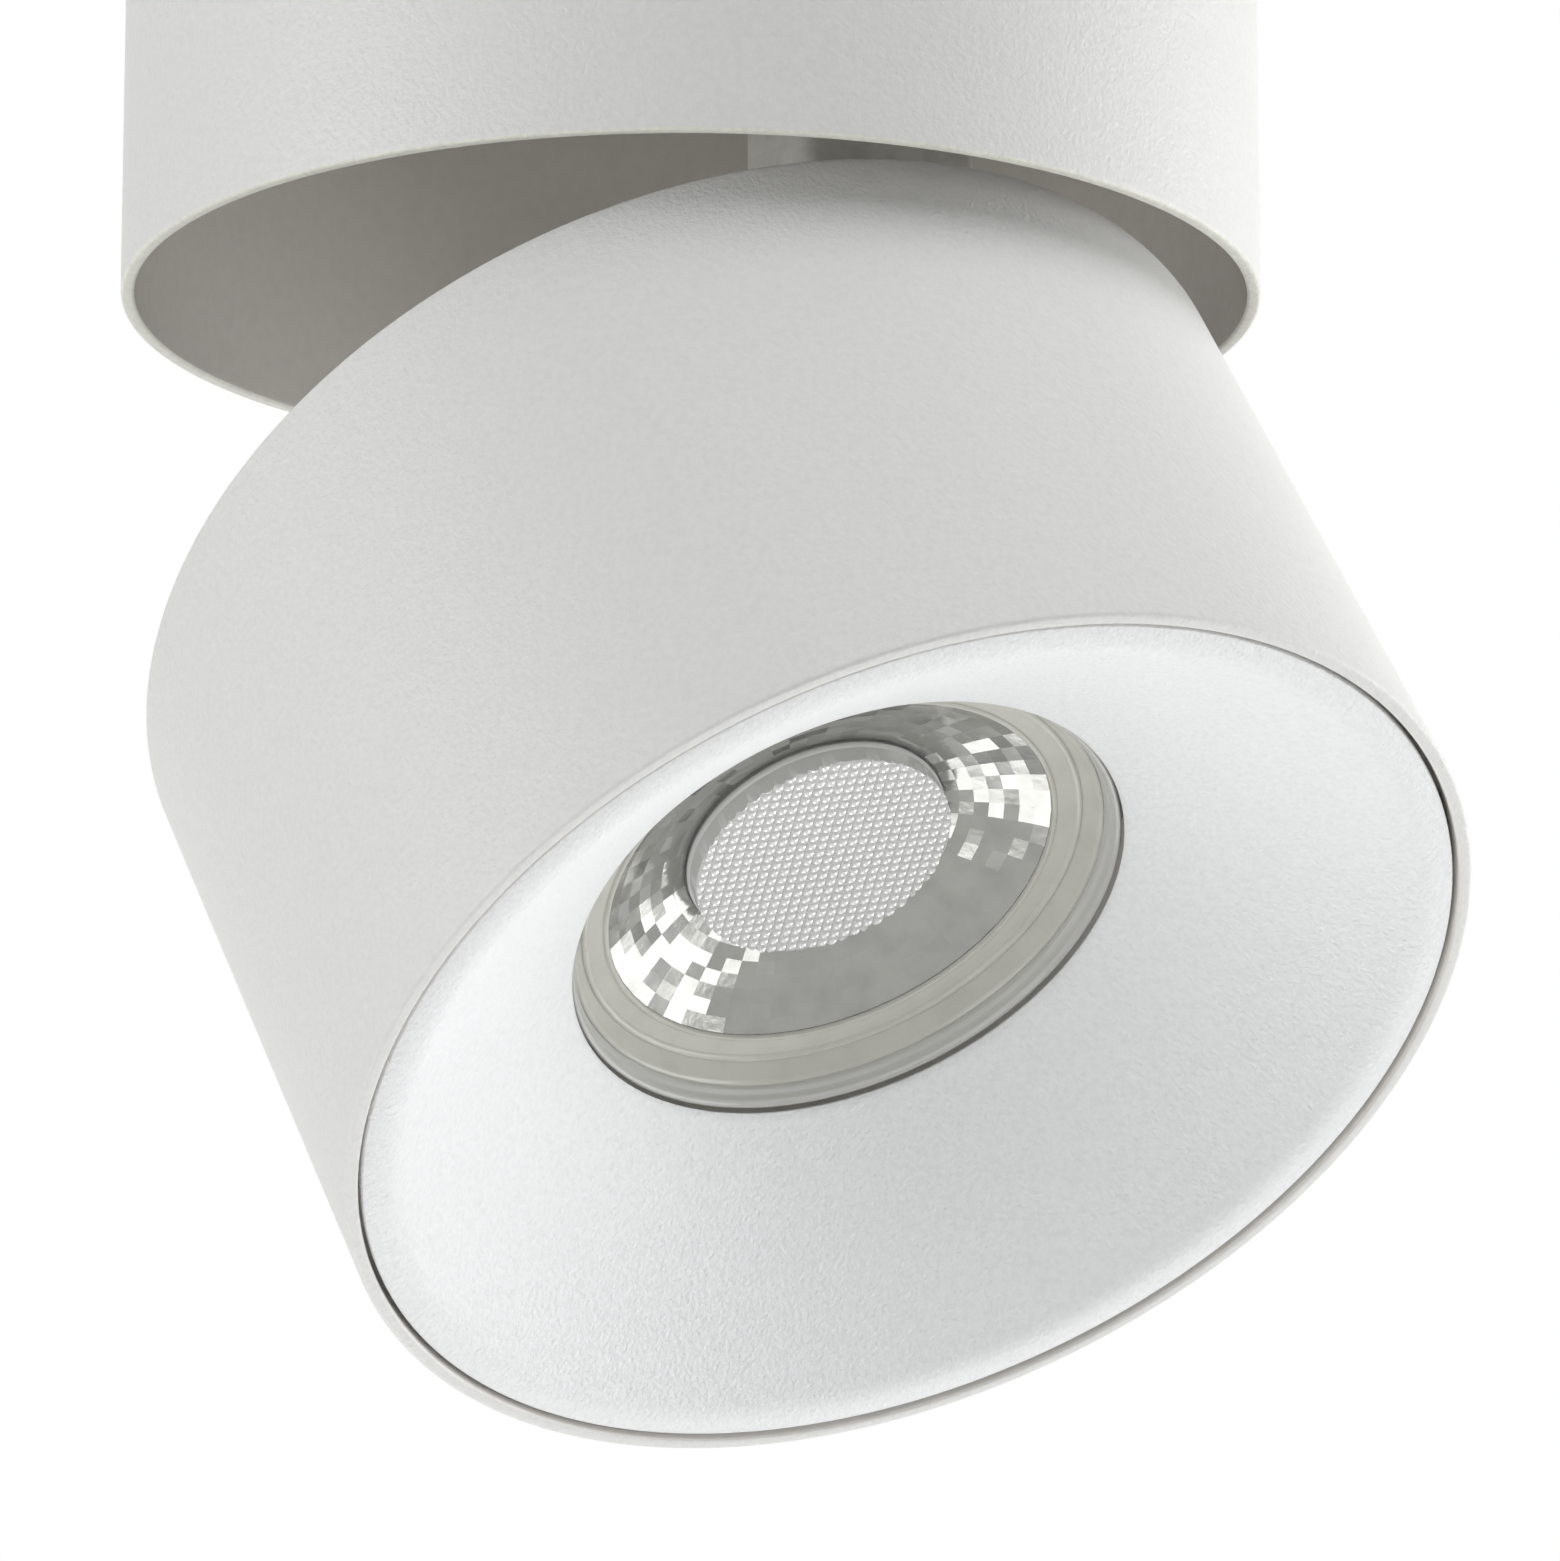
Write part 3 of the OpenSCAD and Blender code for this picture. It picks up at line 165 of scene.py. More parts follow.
def block(name, low, high, place=STRAIGHT):
    """A block between two corners, in millimetres."""
    low, high = Vector(low) * MM, Vector(high) * MM
    bpy.ops.object.select_all(action="DESELECT")
    bpy.ops.mesh.primitive_cube_add(size=1, location=(low + high) / 2, scale=high - low)
    piece = bpy.context.object
    piece.name = name
    put(piece, place)
    return piece


def at(x, y, z):
    """A place in millimetres."""
    return Matrix.Translation(Vector((x, y, z)) * MM)


def combine(piece, other, how):
    """Joins, cuts or keeps the common part of two solids, and removes the second."""
    only(piece)
    change = piece.modifiers.new(how.lower(), "BOOLEAN")
    change.operation = how
    change.solver = "EXACT"
    change.object = other
    bpy.ops.object.modifier_apply(modifier=change.name)
    bpy.data.objects.remove(other)


def soften(piece, width, segments=3, limit=40):
    """Rounds the edges that are sharper than the limit in degrees."""
    only(piece)
    bevel = piece.modifiers.new("soft edge", "BEVEL")
    bevel.width = width * MM
    bevel.segments = segments
    bevel.limit_method = "ANGLE"
    bevel.angle_limit = math.radians(limit)
    bevel.use_clamp_overlap = True
    bpy.ops.object.modifier_apply(modifier=bevel.name)


def smooth(piece, limit=30):
    """Shades a piece smooth over edges that are flatter than the limit in degrees."""
    only(piece)
    bpy.ops.object.shade_smooth_by_angle(angle=math.radians(limit))


def wall(name, height):
    """The straight round wall of the shell and the head, hanging from zero, with rounded edges."""
    low = -height
    outside = [(SHELL_R, low), (SHELL_R, low + EDGE_BAND), (SHELL_R, -EDGE_BAND), (SHELL_R, 0)]
    inside = [(INNER_R, 0), (INNER_R, -EDGE_BAND), (INNER_R, low + EDGE_BAND)]
    made = turned(name, [(INNER_R, low), *outside, *inside], WALL_STEPS)
    soften(made, EDGE_ROUND, 5)
    return made


# Shell on the ceiling: a round wall with a soft rim, three bosses for the deck and two screw holes.
shell = wall("shell_wall", SHELL_H)
for turn in (0, 120, 240):
    spot = Matrix.Rotation(math.radians(turn), 4, "Z") @ at(BOSS_AT, 0, 0)
    combine(shell, rod("boss", BOSS_R, DECK_LOW - BOSS_LENGTH, DECK_LOW, spot), "UNION")
    core_hole = rod("core hole", BOSS_CORE_R, DECK_LOW - BOSS_CORE_DEPTH, DECK_LOW + 1, spot)
    combine(shell, core_hole, "DIFFERENCE")
for side in (-1, 1):
    screw_line = at(side * SHELL_R, 0, -SIDE_HOLE_DROP) @ SIDEWAYS
    combine(shell, rod("screw hole", SIDE_HOLE_R, -4, 4, screw_line), "DIFFERENCE")
smooth(shell)

# Head: the same wall, with two hinge lugs, two bosses for the bracket and three seats for the cone.
head = wall("head_wall", HEAD_LENGTH)
hinge_line = at(0, -HINGE_Y, -HINGE_DROP) @ SIDEWAYS
for side in (-1, 1):
    low, high = sorted((side * (BOLT_X - LUG_WIDTH), side * BOLT_X))
    lug = rod("lug", LUG_R, low, high, hinge_line)
    lug_foot = block("lug foot", (low, LUG_FOOT_Y, LUG_FOOT_LOW), (high, -HINGE_Y, LUG_FOOT_HIGH))
    combine(lug, lug_foot, "UNION")
    combine(head, lug, "UNION")
    spot = at(side * BRACKET_BOSS_AT, 0, 0)
    combine(head, rod("bracket boss", BRACKET_BOSS_R, *BRACKET_BOSS_ENDS, spot), "UNION")
    combine(head, rod("core hole", BRACKET_CORE_R, *BRACKET_CORE_ENDS, spot), "DIFFERENCE")
for turn in (90, 210, 330):
    spot = Matrix.Rotation(math.radians(turn), 4, "Z")
    combine(head, block("seat", *SEAT, spot), "UNION")
hinge_bore = rod("hinge bore", HINGE_BORE_R, -BOLT_X - 0.5, BOLT_X + 0.5, hinge_line)
combine(head, hinge_bore, "DIFFERENCE")
put(head, IN_HEAD)
smooth(head)

# Front cone: flat lip, soft bend, the cone and its opening, and the skirt behind that holds the springs.
LIP_R = 48.4
LIP_IN = 45.6
LIP_SET = 0.3
LIP_BACK = 1.5
OPEN_R = 24.8
OPEN_AT = 15.9
SKIRT_IN = 45.2
SKIRT_R = 46.4
SKIRT_END = 9.0
BEND_R = 3.4
BEND_STEPS = 10
slope = math.atan2(OPEN_AT - LIP_SET, LIP_IN - OPEN_R)
start = LIP_IN + BEND_R * math.tan(slope / 2)
lip = [(start - BEND_R * math.sin(a), LIP_SET + BEND_R * (1 - math.cos(a)))
       for a in (slope * i / BEND_STEPS for i in range(BEND_STEPS + 1))]
cone_outline = [(LIP_R, LIP_BACK), (LIP_R, LIP_SET + 0.25), (LIP_R - 0.08, LIP_SET + 0.08),
                (LIP_R - 0.25, LIP_SET), *lip,
                (OPEN_R + 0.5, OPEN_AT - 0.35), (OPEN_R + 0.12, OPEN_AT - 0.02),
                (OPEN_R, OPEN_AT + 0.25), (OPEN_R + 0.15, OPEN_AT + 0.5), (OPEN_R + 1.9, OPEN_AT + 0.4),
                (SKIRT_IN, 2.6), (SKIRT_IN, SKIRT_END), (SKIRT_R, SKIRT_END), (SKIRT_R, LIP_BACK)]
cone = turned("cone_body", cone_outline, WALL_STEPS, FROM_FRONT)
smooth(cone, 32)

# The lamp's pieces are drawn from its front edge, with the depth as height.

# Pressed glass: a thin rim with two rounded beads, the bowl, and the neck in the base.
NECK_R = 11.1
NECK_END = 34.6
NECK_IN = 9.8
BOWL_WIDER = 13.4
BOWL_FROM = 3
BOWL_DEEP = 28.6
BOWL_STEPS = 24
GLASS_WALL = 1.3
bowl = [(NECK_R + BOWL_WIDER * math.sqrt(1 - 0.97 * t ** 2.4), BOWL_FROM + BOWL_DEEP * t)
        for t in (i / BOWL_STEPS for i in range(1, BOWL_STEPS + 1))]
bowl_in = [(r - GLASS_WALL, z - 0.8 * (z - BOWL_FROM) / BOWL_DEEP) for r, z in bowl]
rim_outline = [(23.9, 3.0), (23.9, 1.55), (23.97, 1.3), (24.1, 1.15), (24.2, 0.95), (24.2, 0.6),
               (24.25, 0.3), (24.4, 0.08), (24.58, 0.0), (24.75, 0.08), (24.9, 0.3), (25.0, 0.6),
               (25.0, 1.4), (24.9, 1.75), (24.7, 1.9), (24.7, 3.0)]
neck_outline = [(NECK_R, 32.6), (NECK_R, NECK_END), (NECK_IN, NECK_END), (NECK_IN, 31.8)]
glass_outline = [*rim_outline, *bowl, *neck_outline, *reversed(bowl_in)]
glass = turned("glass_bulb", glass_outline, LAMP_STEPS, LAMP_FRONT)
smooth(glass, 50)

# Pale ring that slopes inwards to the facets, with a thin ridge half way and one at the facets.
ridge_at_facets = [(20.0, 4.25), (20.0, 3.98), (20.08, 3.86), (20.22, 3.82), (20.38, 3.86), (20.5, 4.0)]
ridge_half_way = [(21.95, 3.78), (22.05, 3.6), (22.18, 3.45), (22.35, 3.4), (22.5, 3.45), (22.6, 3.56)]
outer_edge = [(23.4, 2.2), (23.5, 1.98), (23.65, 1.85), (23.85, 1.85), (23.85, 2.95)]
back_of_ring = [(22.85, 5.1), (21.15, 5.1), (21.15, 4.25)]
ring_outline = [*ridge_at_facets, *ridge_half_way, *outer_edge, *back_of_ring]
ring = turned("pale_ring", ring_outline, LAMP_STEPS, LAMP_FRONT)
smooth(ring, 40)

# Silvered dish: rows of flat mirrors round a hole that the lens stands in.
FACETS = 54
ROWS = 7
DISH_R = 20
DISH_IN = 11.8
DISH_FROM = 4.3
DISH_DEEP = 3.9
DISH_WALL = 0.8


def dish(t, behind=0.0):
    """A point of the dish's face, from its outer edge at 0 to its hole at 1, or that far behind the face."""
    return DISH_R + (DISH_IN - DISH_R) * t, DISH_FROM + DISH_DEEP * (1.3 * t - 0.3 * t * t) + behind


facet_rows = [dish(i / ROWS) for i in range(ROWS + 1)]
dish_back = [dish(i / 3, DISH_WALL) for i in (3, 2, 1, 0)]
dish_outline = [(21.1, 5.1), (21.1, DISH_FROM), *facet_rows, *dish_back]
reflector = turned("silver_facets", dish_outline, FACETS, LAMP_FRONT)

# A number for each facet from its place, which the material makes into a small lean of its own.
lean = reflector.data.attributes.new("facet_lean", "FLOAT_VECTOR", "FACE")
for face, own in zip(reflector.data.polygons, lean.data):
    spot = face.center.dot(Vector((1.0, 2.3, 3.7))) / MM
    own.vector = [math.sin(spot * step) for step in (12.9898, 78.233, 37.719)]

# Clear lens: a raised round face made of small pyramids in a square grid, a flange and a foot.
FACE_R = 11.5
DOT_PITCH = 0.95
DOT_EDGE = 0.2
DOT_SIDE = 0.26
DOT_TIP = 0.12
DOTS = 26
DOT_TURN = math.radians(20)
DOT_AT = 6.1
face_side = [(0, 7.0), (FACE_R, 7.0), (FACE_R, 7.5)]
bead = [(11.6, 7.58), (11.68, 7.75), (11.68, 7.95), (11.6, 8.12), (FACE_R, 8.2)]
flange = [(FACE_R, 9.05), (12.8, 9.05), (12.8, 9.85), (10.9, 9.85)]
foot = [(8.5, 13.05), (6.8, 15.5), (6.8, 17.3), (5.8, 17.3), (5.8, 16.2), (0, 16.2)]
lens = turned("dotted_lens", [*face_side, *bead, *flange, *foot], LAMP_STEPS)
bpy.ops.object.select_all(action="DESELECT")
bpy.ops.mesh.primitive_plane_add(size=DOT_PITCH * MM)
dots = bpy.context.object
dots.name = "lens dots"
bpy.ops.object.mode_set(mode="EDIT")
bpy.ops.mesh.select_all(action="SELECT")
bpy.ops.mesh.inset(thickness=DOT_EDGE * MM, depth=DOT_SIDE * MM)
bpy.ops.mesh.poke(offset=DOT_TIP * MM)
bpy.ops.object.mode_set(mode="OBJECT")
for direction in ((1, 0, 0), (0, 1, 0)):
    repeat = dots.modifiers.new("grid", "ARRAY")
    repeat.count = DOTS
    repeat.relative_offset_displace = direction
    repeat.use_merge_vertices = True
    repeat.merge_threshold = 0.01 * MM
    bpy.ops.object.modifier_apply(modifier=repeat.name)
put(dots, at(-DOT_PITCH * (DOTS - 1) / 2, -DOT_PITCH * (DOTS - 1) / 2, 0))

# The sheet of dots is drawn down to a flat base, which makes it a solid, and is cut to the round face.
bpy.ops.object.mode_set(mode="EDIT")
bpy.ops.mesh.select_all(action="SELECT")
bpy.ops.mesh.extrude_region_move(TRANSFORM_OT_translate={"value": (0, 0, -12 * MM)})
bpy.ops.transform.resize(value=(1, 1, 0))
bpy.ops.mesh.select_all(action="SELECT")
bpy.ops.mesh.normals_make_consistent(inside=False)
bpy.ops.object.mode_set(mode="OBJECT")
put(dots, at(0, 0, DOT_AT) @ Matrix.Rotation(math.pi, 4, "X") @ Matrix.Rotation(DOT_TURN, 4, "Z"))
face = rod("lens face", FACE_R, 5.0, 7.5, sides=LAMP_STEPS)
combine(face, dots, "INTERSECT")
combine(lens, face, "UNION")
put(lens, LAMP_FRONT)
smooth(lens, 55)

# Sleeved lamp leads, from the nipple down the arm's channel and into the holder's side.
IN_ARM = [(0, 0, -29), (0, 0, -32), (0, -1.6, -35.6), (0, -9.2, -41.2), (0, -18.5, -45.0), (0, -24.3, -50.5),
          (0, -24.3, -55.9), (0, -18.5, -60.5)]
OVER_HEAD = [IN_HEAD @ (Vector((0, y, 17.7)) * MM) / MM for y in (-19.5, -14.5, -9.5)]
ROUTE = IN_ARM + OVER_HEAD
SLEEVE_R = 2


def on_route(step, t):
    """A point of the smooth curve through the route's points."""
    a, b, c, d = (Vector(ROUTE[min(max(step + k, 0), len(ROUTE) - 1)]) for k in (-1, 0, 1, 2))
    square = 2 * a - 5 * b + 4 * c - d
    cube = 3 * b - a - 3 * c + d
    return 0.5 * (2 * b + (c - a) * t + square * t * t + cube * t ** 3)


bpy.ops.object.select_all(action="DESELECT")
bpy.ops.mesh.primitive_plane_add(size=MM)
sleeve = bpy.context.object
sleeve.name = "lead_sleeve"
bpy.ops.object.mode_set(mode="EDIT")
bpy.ops.mesh.merge(type="CENTER")
spot = Vector((0, 0, 0))
for step in range(len(ROUTE) - 1):
    for quarter in range(4):
        point = on_route(step, quarter / 4)
        if step + quarter == 0:
            bpy.ops.transform.translate(value=point * MM)
        else:
            bpy.ops.mesh.extrude_vertices_move(TRANSFORM_OT_translate={"value": (point - spot) * MM})
        spot = point
bpy.ops.object.mode_set(mode="OBJECT")
bpy.ops.object.convert(target="CURVE")
sleeve.data.bevel_depth = SLEEVE_R * MM
sleeve.data.bevel_resolution = 5
sleeve.data.use_fill_caps = True
bpy.ops.object.convert(target="MESH")
put(sleeve, STRAIGHT)
smooth(sleeve, 60)


# Materials

def tint(code):
    """An sRGB hex colour as the linear colour that the shaders take."""
    parts = [int(code[i:i + 2], 16) / 255 for i in (1, 3, 5)]
    return [c / 12.92 if c <= 0.04045 else ((c + 0.055) / 1.055) ** 2.4 for c in parts] + [1.0]


def node(tree, kind, settings=(), links=()):
    """Adds a node, sets its sockets and properties, and links its inputs."""
    made = tree.nodes.new(kind)
    for key, value in dict(settings).items():
        if isinstance(key, str) and hasattr(made, key):
            setattr(made, key, value)
        else:
            made.inputs[key].default_value = value
    for key, source in dict(links).items():
        tree.links.new(source, made.inputs[key])
    return made


def finish_of(name):
    """A new material with its shader, and the Object coordinates that its patterns use."""
    made = bpy.data.materials.new(name)
    made.use_nodes = True
    tree = made.node_tree
    shader = tree.nodes["Principled BSDF"]
    coordinates = node(tree, "ShaderNodeTexCoord")
    return made, tree, shader, coordinates.outputs["Object"]


def mottle(tree, shader, where, code, share, size_mm):
    """Colours a finish: the colour as written, with soft patches that keep only a share of it."""
    patches = node(tree, "ShaderNodeTexNoise", {"Scale": 1 / (size_mm * MM), "Detail": 3.0},
                   {"Vector": where})
    shade = node(tree, "ShaderNodeValToRGB", {}, {"Fac": patches.outputs["Fac"]})
    full = tint(code)
    shade.color_ramp.elements[0].color = [c * share for c in full[:3]] + [1.0]
    shade.color_ramp.elements[0].position = 0.3
    shade.color_ramp.elements[1].color = full
    shade.color_ramp.elements[1].position = 0.6
    tree.links.new(shade.outputs["Color"], shader.inputs["Base Color"])


def powder(name, code, share, grain_mm, height, rough):
    """Powder coat: an even colour, a fine orange peel of small soft bumps and a satin sheen."""
    made, tree, shader, where = finish_of(name)
    mottle(tree, shader, where, code, share, grain_mm * 1.3)
    peel = node(tree, "ShaderNodeTexNoise",
                {"Scale": 1 / (grain_mm * MM), "Detail": 3.0, "Roughness": 0.55}, {"Vector": where})
    bump = node(tree, "ShaderNodeBump", {"Strength": 1.0, "Distance": height * MM},
                {"Height": peel.outputs["Fac"]})
    gloss = node(tree, "ShaderNodeMapRange", {"To Min": rough - 0.05, "To Max": rough + 0.08},
                 {"Value": peel.outputs["Fac"]})
    tree.links.new(bump.outputs["Normal"], shader.inputs["Normal"])
    tree.links.new(gloss.outputs["Result"], shader.inputs["Roughness"])
    shader.inputs["IOR"].default_value = 1.5
    return made


def metal(name, code, rough, grain_mm, height, metallic=1.0):
    """Bare or plated metal, with a grain that breaks its reflections a little."""
    made, tree, shader, where = finish_of(name)
    grain = node(tree, "ShaderNodeTexNoise", {"Scale": 1 / (grain_mm * MM), "Detail": 3.0}, {"Vector": where})
    gloss = node(tree, "ShaderNodeMapRange", {"To Min": rough * 0.75, "To Max": rough * 1.25},
                 {"Value": grain.outputs["Fac"]})
    bump = node(tree, "ShaderNodeBump", {"Strength": 1.0, "Distance": height * MM},
                {"Height": grain.outputs["Fac"]})
    mottle(tree, shader, where, code, 0.86, 2.5 * grain_mm)
    shader.inputs["Metallic"].default_value = metallic
    tree.links.new(gloss.outputs["Result"], shader.inputs["Roughness"])
    tree.links.new(bump.outputs["Normal"], shader.inputs["Normal"])
    return made


def moulded(name, code, rough, grain_mm=0.8, height=0.01, ior=1.5):
    """Moulded plastic, rubber or ceramic: one colour with a fine surface grain."""
    made, tree, shader, where = finish_of(name)
    grain = node(tree, "ShaderNodeTexNoise", {"Scale": 1 / (grain_mm * MM), "Detail": 2.0}, {"Vector": where})
    bump = node(tree, "ShaderNodeBump", {"Strength": 1.0, "Distance": height * MM},
                {"Height": grain.outputs["Fac"]})
    gloss = node(tree, "ShaderNodeMapRange", {"To Min": rough - 0.05, "To Max": rough + 0.05},
                 {"Value": grain.outputs["Fac"]})
    mottle(tree, shader, where, code, 0.93, 4 * grain_mm)
    shader.inputs["IOR"].default_value = ior
    tree.links.new(gloss.outputs["Result"], shader.inputs["Roughness"])
    tree.links.new(bump.outputs["Normal"], shader.inputs["Normal"])
    return made


def clear(name, code, rough, ior, through=1.0):
    """Glass or clear plastic, with a faint waviness from pressing. Some of it lets less light through, and
    the opaque share of its colour is then painted light.
    """
    made, tree, shader, where = finish_of(name)
    wave = node(tree, "ShaderNodeTexNoise", {"Scale": 1 / (3 * MM), "Detail": 1.0}, {"Vector": where})
    bump = node(tree, "ShaderNodeBump", {"Strength": 1.0, "Distance": 0.01 * MM},
                {"Height": wave.outputs["Fac"]})
    shader.inputs["Base Color"].default_value = tint(code)
    shader.inputs["Roughness"].default_value = rough
    shader.inputs["IOR"].default_value = ior
    shader.inputs["Transmission Weight"].default_value = through
    tree.links.new(bump.outputs["Normal"], shader.inputs["Normal"])
    return made


def lean_facets(finish, amount):
    """Adds each facet's own lean to the normal that the finish's grain has made."""
    tree = finish.node_tree
    normal = tree.nodes["Principled BSDF"].inputs["Normal"]
    number = node(tree, "ShaderNodeAttribute", {"attribute_name": "facet_lean"})
    own = node(tree, "ShaderNodeVectorMath", {"operation": "SCALE", "Scale": amount},
               {0: number.outputs["Vector"]})
    both = node(tree, "ShaderNodeVectorMath", {"operation": "ADD"},
                {0: normal.links[0].from_socket, 1: own.outputs["Vector"]})
    upright = node(tree, "ShaderNodeVectorMath", {"operation": "NORMALIZE"}, {0: both.outputs["Vector"]})
    tree.links.new(upright.outputs["Vector"], normal)


# Satin white walls, with a fine orange peel that softens every reflection.
powder_white = powder("white powder coat on steel", "#E4E4E2", 0.96, 0.5, 0.13, 0.42)

# A little glossier than the wall, and warmer and paler as painted light, so that the shell's rim reads as a
# thin pale line.
powder_rim_lit = powder("rim powder coat, paled as painted light", "#E8E8DE", 0.9, 0.5, 0.15, 0.35)

# Nearly smooth, so that the hollows show long soft reflections. Its warm grey, a little darker than the
# wall's white, is painted shade in the hollows.
powder_inside_shaded = powder("thin powder coat inside, greyed as painted shade", "#DDDAD5", 0.96, 0.9, 0.012, 0.2)

# The same white coat as the walls, painted whiter as painted light for the light that the cone gathers, with
# a fine grain and no sharp highlight, so that the cone is shaded by its slope alone.
cone_white = powder("matt white powder coat", "#F2F3F4", 0.95, 0.45, 0.2, 0.45)

# Pale grey sheet with small soft patches, which shines little like a metal. Its pale, mostly dull tone is
# painted light, which lifts the arm in the shade inside the shell.
galvanised = metal("galvanised steel sheet", "#EDEDE8", 0.5, 0.8, 0.02, 0.2)

# Cool bright screws, washers and rivets, with small highlights.
zinc = metal("bright zinc plating", "#C3C5C8", 0.25, 0.6, 0.006)

# Dark screw heads with a dull sheen.
blackened = metal("blackened steel", "#45474A", 0.42, 0.6, 0.008)

# Warm yellow metal with clean highlights.
turned_brass = metal("turned brass", "#C9A45C", 0.24, 0.5, 0.006)

# Redder than the brass and a little duller, for the contacts.
bronze = metal("phosphor bronze", "#B5855A", 0.3, 0.6, 0.005)

# Darker and bluer than the plating, so that the springs stand out from it.
spring_steel = metal("blue-grey spring steel", "#7D8287", 0.3, 0.8, 0.005)

# Warm silver with the sharpest highlights of the small metals, on the lamp's pins.
nickel = metal("nickel plating", "#CBC8C0", 0.2, 0.6, 0.004)

# Grey mirrors that each lean their own way, so that some flash and their neighbours go dark. Their grey is
# painted shade, which dims the pale floor that they reflect.
silver = metal("vacuum-metallised facets", "#B9B9B5", 0.15, 1.2, 0.02, 0.72)
lean_facets(silver, 0.1)

# Milky white with a soft sheen.
nylon = moulded("natural nylon", "#E9E8E2", 0.45)

# Nearly black and dull.
rubber = moulded("black rubber", "#262627", 0.7)

# Cream ceramic, dull and slightly rough.
steatite = moulded("unglazed steatite", "#E8E4D8", 0.65, 0.5, 0.03, 1.6)

# Off-white with a soft sheen, a little greyer than the nylon.
polyamide = moulded("white polyamide", "#E6E5DF", 0.45)

# The three wires' colours, with a soft plastic sheen.
brown_pvc = moulded("brown PVC insulation", "#6A4530", 0.4)
blue_pvc = moulded("blue PVC insulation", "#2F5E9C", 0.4)
green_pvc = moulded("green PVC insulation", "#6E9A3C", 0.4)

# Off-white sleeve with a fine ripple, as of woven glass under its coating.
sleeving = moulded("silicone-coated glass sleeve", "#E2E0D7", 0.6, 0.35, 0.08)

# Clean white with some gloss, for the lamp's cap.
lamp_base_white = moulded("white lamp base", "#EFEFEB", 0.3)

# Glossy white round the light source.
board_white = moulded("white solder mask", "#E6E6E3", 0.3)

# Dark green board with a low gloss.
board_green = moulded("green solder mask", "#2E6A42", 0.35)

# A warm yellow patch in the middle of the lamp's white board.
phosphor = moulded("yellow phosphor", "#E8CF5A", 0.5)

# Grey-white and glossy, with one soft highlight along each ridge of the lamp's ring.
ring_plastic = moulded("translucent off-white plastic", "#CDCDC5", 0.15)

# A rim that catches bright lines like glass. Its pale, partly opaque white is painted light, which shows in
# it in place of the dark of the head.
rim_glass = clear("pressed glass rim, paled as painted light", "#F2F2EE", 0.04, 1.5, 0.45)

# The lens's wall, whose pale, partly opaque white is painted light in place of the source's light that fills
# it.
lens_wall = clear("clear acrylic, paled as painted source light", "#ECECEA", 0.1, 1.49, 0.15)

# Small pyramids that send the light back like mirrors, which makes the grid of dots sparkle. Their white,
# which lets little light through, is painted light from the source behind.
dot_plastic = clear("clear acrylic dots that turn the light back", "#FFFFFF", 0.16, 1.49, 0.1)
dot_plastic.node_tree.nodes["Principled BSDF"].inputs["Metallic"].default_value = 0.5

# Clear bowl with a faint green and sharp highlights.
bulb_glass = clear("clear pressed glass", "#E4EAE8", 0.02, 1.5)

# Clear foot and flange of the lens, behind its face.
lens_plastic = clear("clear optical acrylic", "#F2F4F4", 0.03, 1.49)

# Bare wire ends, reddish and bright.
copper = metal("copper wire", "#C27A4E", 0.3, 0.5, 0.005)


def cover(piece, *finishes):
    """Gives a piece its finishes, in the order of their slots."""
    piece.data.materials.clear()
    for finish in finishes:
        piece.data.materials.append(finish)


def part_of_faces(piece, index, test):
    """Gives the faces that pass the test, by centre in millimetres and normal, another of the finishes."""
    for polygon in piece.data.polygons:
        if test(polygon.center / MM, polygon.normal):
            polygon.material_index = index


NEW = [(shell, "base", "upper_shell", "powder_coat", (powder_white, powder_inside_shaded, powder_rim_lit)),
       (head, "head", "head_shell", "powder_coat", (powder_white, powder_inside_shaded)),
       (cone, "cone", "front_cone", "cone_white", (cone_white,)),
       (glass, "lamp", "lamp_glass", "lamp_glass", (bulb_glass, rim_glass)),
       (ring, "lamp", "lamp_ring", "lamp_ring", (ring_plastic,)),
       (reflector, "lamp", "lamp_reflector", "lamp_silver", (silver,)),
       (lens, "lamp", "lamp_lens", "lamp_clear", (lens_plastic, lens_wall, dot_plastic))]
for piece, body, stands_for, slot, finishes in NEW:
    cover(piece, *finishes)
    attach(piece, body)
    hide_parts(stands_for)

cover(sleeve, sleeving)
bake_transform(sleeve)
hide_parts("lamp_leads")

# The shell's inside has the thin coat with its painted shade, and so has all that stands in it; its lower rim
# has the pale one, whose paleness is painted light.
part_of_faces(shell, 1, lambda c, n: math.hypot(c.x, c.y) < INNER_R + 0.1)
part_of_faces(shell, 2, lambda c, n: c.z < -SHELL_H + 0.2 and math.hypot(c.x, c.y) > INNER_R - 0.1)

to_head = IN_HEAD.inverted()
to_lamp = LAMP_FRONT.inverted()


def in_frame(inverse, centre):
    """A face's centre as the piece was drawn, in millimetres."""
    return inverse @ (centre * MM) / MM


def inside_head(centre, normal):
    """Whether a face is on the inside of the head."""
    local = in_frame(to_head, centre)
    return math.hypot(local.x, local.y) < INNER_R + 0.1


part_of_faces(head, 1, inside_head)

# The lamp's front: the glass rim, the lens's wall, and the faces of the lens's dots that look forward.
part_of_faces(glass, 1, lambda c, n: in_frame(to_lamp, c).z < 3.1)
part_of_faces(lens, 1, lambda c, n: in_frame(to_lamp, c).z < 9.9)
lamp_axis = LAMP_FRONT.to_3x3() @ Vector((0, 0, 1))
part_of_faces(lens, 2, lambda c, n: in_frame(to_lamp, c).z < 6.9 and abs(n.dot(lamp_axis)) > 0.8)

